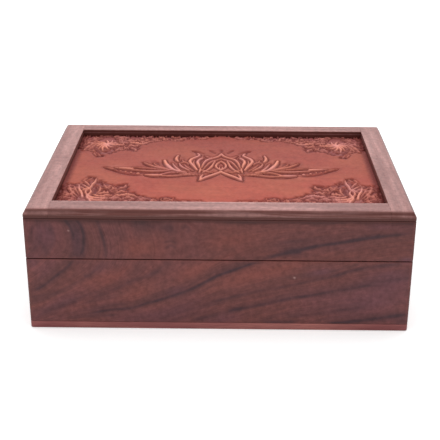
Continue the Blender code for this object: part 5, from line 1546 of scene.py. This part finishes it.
class CARDBOX_OT_rails(bpy.types.Operator):
    """Make the four rails that frame the panel on top of the lid"""

    bl_idname = "cardbox.rails"
    bl_label = "Top frame"

    def execute(self, context):
        sizes, colours = sizes_now(), colours_now()
        closed = (RAIL_FOOT - LID_WALL_TOP - sizes.glue_line) / 2
        moulding = smooth_path(sizes.moulding * np.array(MOULDING_SHARES), MOULDING_POINTS)
        outer = (arc(RAIL_FOOT_SHARE * sizes.joint_ease), moulding)
        inner, butt = ([arc(radius) for radius in pair] for pair in (INNER_EASES, BUTT_EASES))
        upright, tight = sizes.arris, RAIL_CORNER
        rails = {
            "left": ((outer, outer, inner, outer), (upright, tight, tight, upright)),
            "right": ((inner, outer, outer, outer), (tight, upright, upright, tight)),
            "front": ((butt, outer, butt, inner), (tight,) * 4),
            "back": ((butt, inner, butt, outer), (tight,) * 4),
        }
        light, dark = colours.rail_light, colours.rail_dark
        for side, (edges, radii) in rails.items():
            name = f"lid_{side}_rail"
            low, high = corners_of(name)
            low[2] -= closed
            if side in ("front", "back"):
                reach = OPENING_HALF_WIDTH - sizes.glue_line
                low[0], high[0] = -reach, reach
            parts = rosewood(f"rosewood_{side}_rail", light, dark, dark, BOARD_GRAINS[name])
            finish, shade, *relief = parts
            # painted shade on the rail's moulding, lip line, foot and inner face
            shade = paint_rail_shade(finish, mottled(finish, shade), colours, sizes.moulding)
            finish = finish_wood((finish, shade, *relief), None, *RAIL_GLOSS)
            add_piece(name, plank_mesh(name, low, high, edges, radii), finish, "lid")
        return {"FINISHED"}


class CARDBOX_OT_panel(bpy.types.Operator):
    """Carve the lotus and its corner sprays into the lid's panel"""

    bl_idname = "cardbox.panel"
    bl_label = "Carved panel"

    def execute(self, context):
        finish = carved_wood("carved_wood", colours_now())
        add_piece("carved_panel", panel_mesh(sizes_now()), finish, "lid")
        return {"FINISHED"}


class CARDBOX_OT_lining(bpy.types.Operator):
    """Line the tray and the lid with velvet strips, a floor pad and a ceiling pad"""

    bl_idname = "cardbox.lining"
    bl_label = "Velvet lining"

    def execute(self, context):
        finish = velvet_cloth("velvet", colours_now().velvet)
        faces = {"front": (1, 1), "back": (1, -1), "left": (0, 1), "right": (0, -1)}
        for half in ("tray", "lid"):
            for side, face in faces.items():
                name = f"{half}_{side}_lining"
                mesh = soft_slab(name, *corners_of(name), face, LINING_SOFTNESS, LINING_CROWN)
                add_piece(name, mesh, finish, half)
        for name, half, direction in (("tray_floor_pad", "tray", 1), ("lid_ceiling_pad", "lid", -1)):
            mesh = soft_slab(name, *corners_of(name), (2, direction), PAD_SOFTNESS, PAD_CROWN)
            add_piece(name, mesh, finish, half)
        return {"FINISHED"}


class CARDBOX_OT_hinges(bpy.types.Operator):
    """Finish the two brass hinges and their screws"""

    bl_idname = "cardbox.hinges"
    bl_label = "Hinges"

    def execute(self, context):
        finish = satin_brass("brass", colours_now().brass)
        found = [node for name, node in frame["nodes"].items() if "hinge" in name]
        if not found:
            raise RuntimeError("the packed box has no hinges")
        for node in found:
            node.data.materials.clear()
            node.data.materials.append(finish)
            ease = node.modifiers.new("eased_edges", "BEVEL")
            ease.width = BRASS_EASE
            ease.segments = 2
            ease.limit_method = "ANGLE"
            ease.angle_limit = SHARP_ANGLE
            ease.harden_normals = True
        return {"FINISHED"}


# Stage. The camera is solved from the box's own straight edges in a picture 440 pixels wide.
PICTURE_SIZE = 440
FOCAL_PIXELS = 981.5
SENSOR_WIDTH = 36
CAMERA_PLACE = (0.00497, -0.46956, 0.23115)
CAMERA_YAW, CAMERA_PITCH, CAMERA_ROLL = -0.0113, 0.4065, 0.0042


def camera_turn():
    """The camera's axes: right, up and backwards, from its yaw about Z, its pitch down and its roll."""
    ahead = Vector(
        (
            math.sin(CAMERA_YAW) * math.cos(CAMERA_PITCH),
            math.cos(CAMERA_YAW) * math.cos(CAMERA_PITCH),
            -math.sin(CAMERA_PITCH),
        )
    )
    level = Vector((math.cos(CAMERA_YAW), -math.sin(CAMERA_YAW), 0))
    over = level.cross(ahead)
    right = math.cos(CAMERA_ROLL) * level + math.sin(CAMERA_ROLL) * over
    up = -math.sin(CAMERA_ROLL) * level + math.cos(CAMERA_ROLL) * over
    return Matrix((right, up, -ahead)).transposed()


def seen_directly(finish):
    """One on rays from the camera, mirrors and glass, and nought on rays that light the box."""
    path = finish.nodes.new("ShaderNodeLightPath")
    either = finish.maths("MAXIMUM", path.outputs["Is Camera Ray"], path.outputs["Is Glossy Ray"])
    return finish.maths("MAXIMUM", either, path.outputs["Is Transmission Ray"])


class StageWorld(Finish):
    """The world's node tree, built with the same words as a finish."""

    def __init__(self):
        world = bpy.data.worlds.new("studio")
        bpy.context.scene.world = world
        world.use_nodes = True
        self.nodes, self.links = world.node_tree.nodes, world.node_tree.links
        self.surface = self.nodes["Background"]


FILL_LEVEL = 0.30  # how brightly the surroundings light the box, whose plain look is one
FLOOR_COLOUR = (0.8, 0.8, 0.8)
FLOOR_GLOW = 0.40  # what the floor adds of its own light near the box
FLOOR_FADE = (0.3, 1.2)  # from here to there the floor brightens to plain white
FLOOR_REACH = 4
LAMP_PLACE = (0, 0.1, 0.95)
LAMP_SIZE = 1.2
LAMP_POWER = 13


class CARDBOX_OT_stage(bpy.types.Operator):
    """Set the camera, the soft lamp and the pale floor"""

    bl_idname = "cardbox.stage"
    bl_label = "Stage"

    def execute(self, context):
        scene = context.scene
        data = bpy.data.cameras.new("camera")
        data.sensor_width = SENSOR_WIDTH
        data.lens = FOCAL_PIXELS * SENSOR_WIDTH / PICTURE_SIZE
        scene.camera = add_object("camera", data)
        scene.camera.matrix_world = Matrix.Translation(CAMERA_PLACE) @ camera_turn().to_4x4()

        data = bpy.data.lights.new("soft_box", "AREA")
        data.size = LAMP_SIZE
        data.energy = LAMP_POWER
        lamp = add_object("soft_box", data)
        lamp.location = LAMP_PLACE
        lamp.rotation_euler = (-Vector(LAMP_PLACE)).to_track_quat("-Z", "Y").to_euler()
        lamp.visible_glossy = False

        world = StageWorld()
        level = world.between(seen_directly(world), 0, 1, FILL_LEVEL, 1)
        world.feed(world.surface, {"Color": (1, 1, 1, 1), "Strength": level})

        finish = Finish("floor")
        away = finish.node("VectorMath", {0: finish.place()}, "Value", operation="LENGTH")
        level = finish.between(away, *FLOOR_FADE, FLOOR_GLOW, 1.0)
        glow = finish.maths("MULTIPLY", seen_directly(finish), level)
        looks = {"Base Color": (*FLOOR_COLOUR, 1), "Roughness": 0.9, "Specular IOR Level": 0}
        looks |= {"Emission Color": (1, 1, 1, 1), "Emission Strength": glow}
        mesh = bpy.data.meshes.new("floor")
        corners = FLOOR_REACH * np.array([(-1, -1, 0), (1, -1, 0), (1, 1, 0), (-1, 1, 0)])
        mesh.from_pydata(corners.tolist(), [], [(0, 1, 2, 3)])
        mesh.materials.append(finish.coated(looks))
        floor = add_object("floor", mesh)
        scene.view_settings.view_transform = "Standard"
        return {"FINISHED"}


PIECE_OPERATORS = (
    CARDBOX_OT_walls,
    CARDBOX_OT_rails,
    CARDBOX_OT_panel,
    CARDBOX_OT_lining,
    CARDBOX_OT_hinges,
    CARDBOX_OT_stage,
)


class CARDBOX_PT_sidebar(bpy.types.Panel):
    """The box's settings and the steps that build it"""

    bl_idname = "CARDBOX_PT_sidebar"
    bl_label = "Card box"
    bl_space_type = "VIEW_3D"
    bl_region_type = "UI"
    bl_category = "Card Box"

    def draw(self, context):
        scene = context.scene
        for operator in PIECE_OPERATORS:
            self.layout.operator(operator.bl_idname)
        for group in (scene.card_box_sizes, scene.card_box_colours):
            for setting in group.bl_rna.properties:
                if setting.identifier not in ("name", "rna_type"):
                    self.layout.prop(group, setting.identifier)


CLASSES = (BoxSizes, BoxColours, *PIECE_OPERATORS, CARDBOX_PT_sidebar)


def register():
    """Adds the box's settings, steps and sidebar to Blender."""
    for item in CLASSES:
        bpy.utils.register_class(item)
    bpy.types.Scene.card_box_sizes = PointerProperty(type=BoxSizes)
    bpy.types.Scene.card_box_colours = PointerProperty(type=BoxColours)


def unregister():
    """Takes them out again."""
    del bpy.types.Scene.card_box_colours
    del bpy.types.Scene.card_box_sizes
    for item in reversed(CLASSES):
        bpy.utils.unregister_class(item)


def main():
    """Builds the whole box and its stage."""
    register()
    for operator in PIECE_OPERATORS:
        family, step = operator.bl_idname.split(".")
        getattr(getattr(bpy.ops, family), step)()


if __name__ == "__main__":
    main()
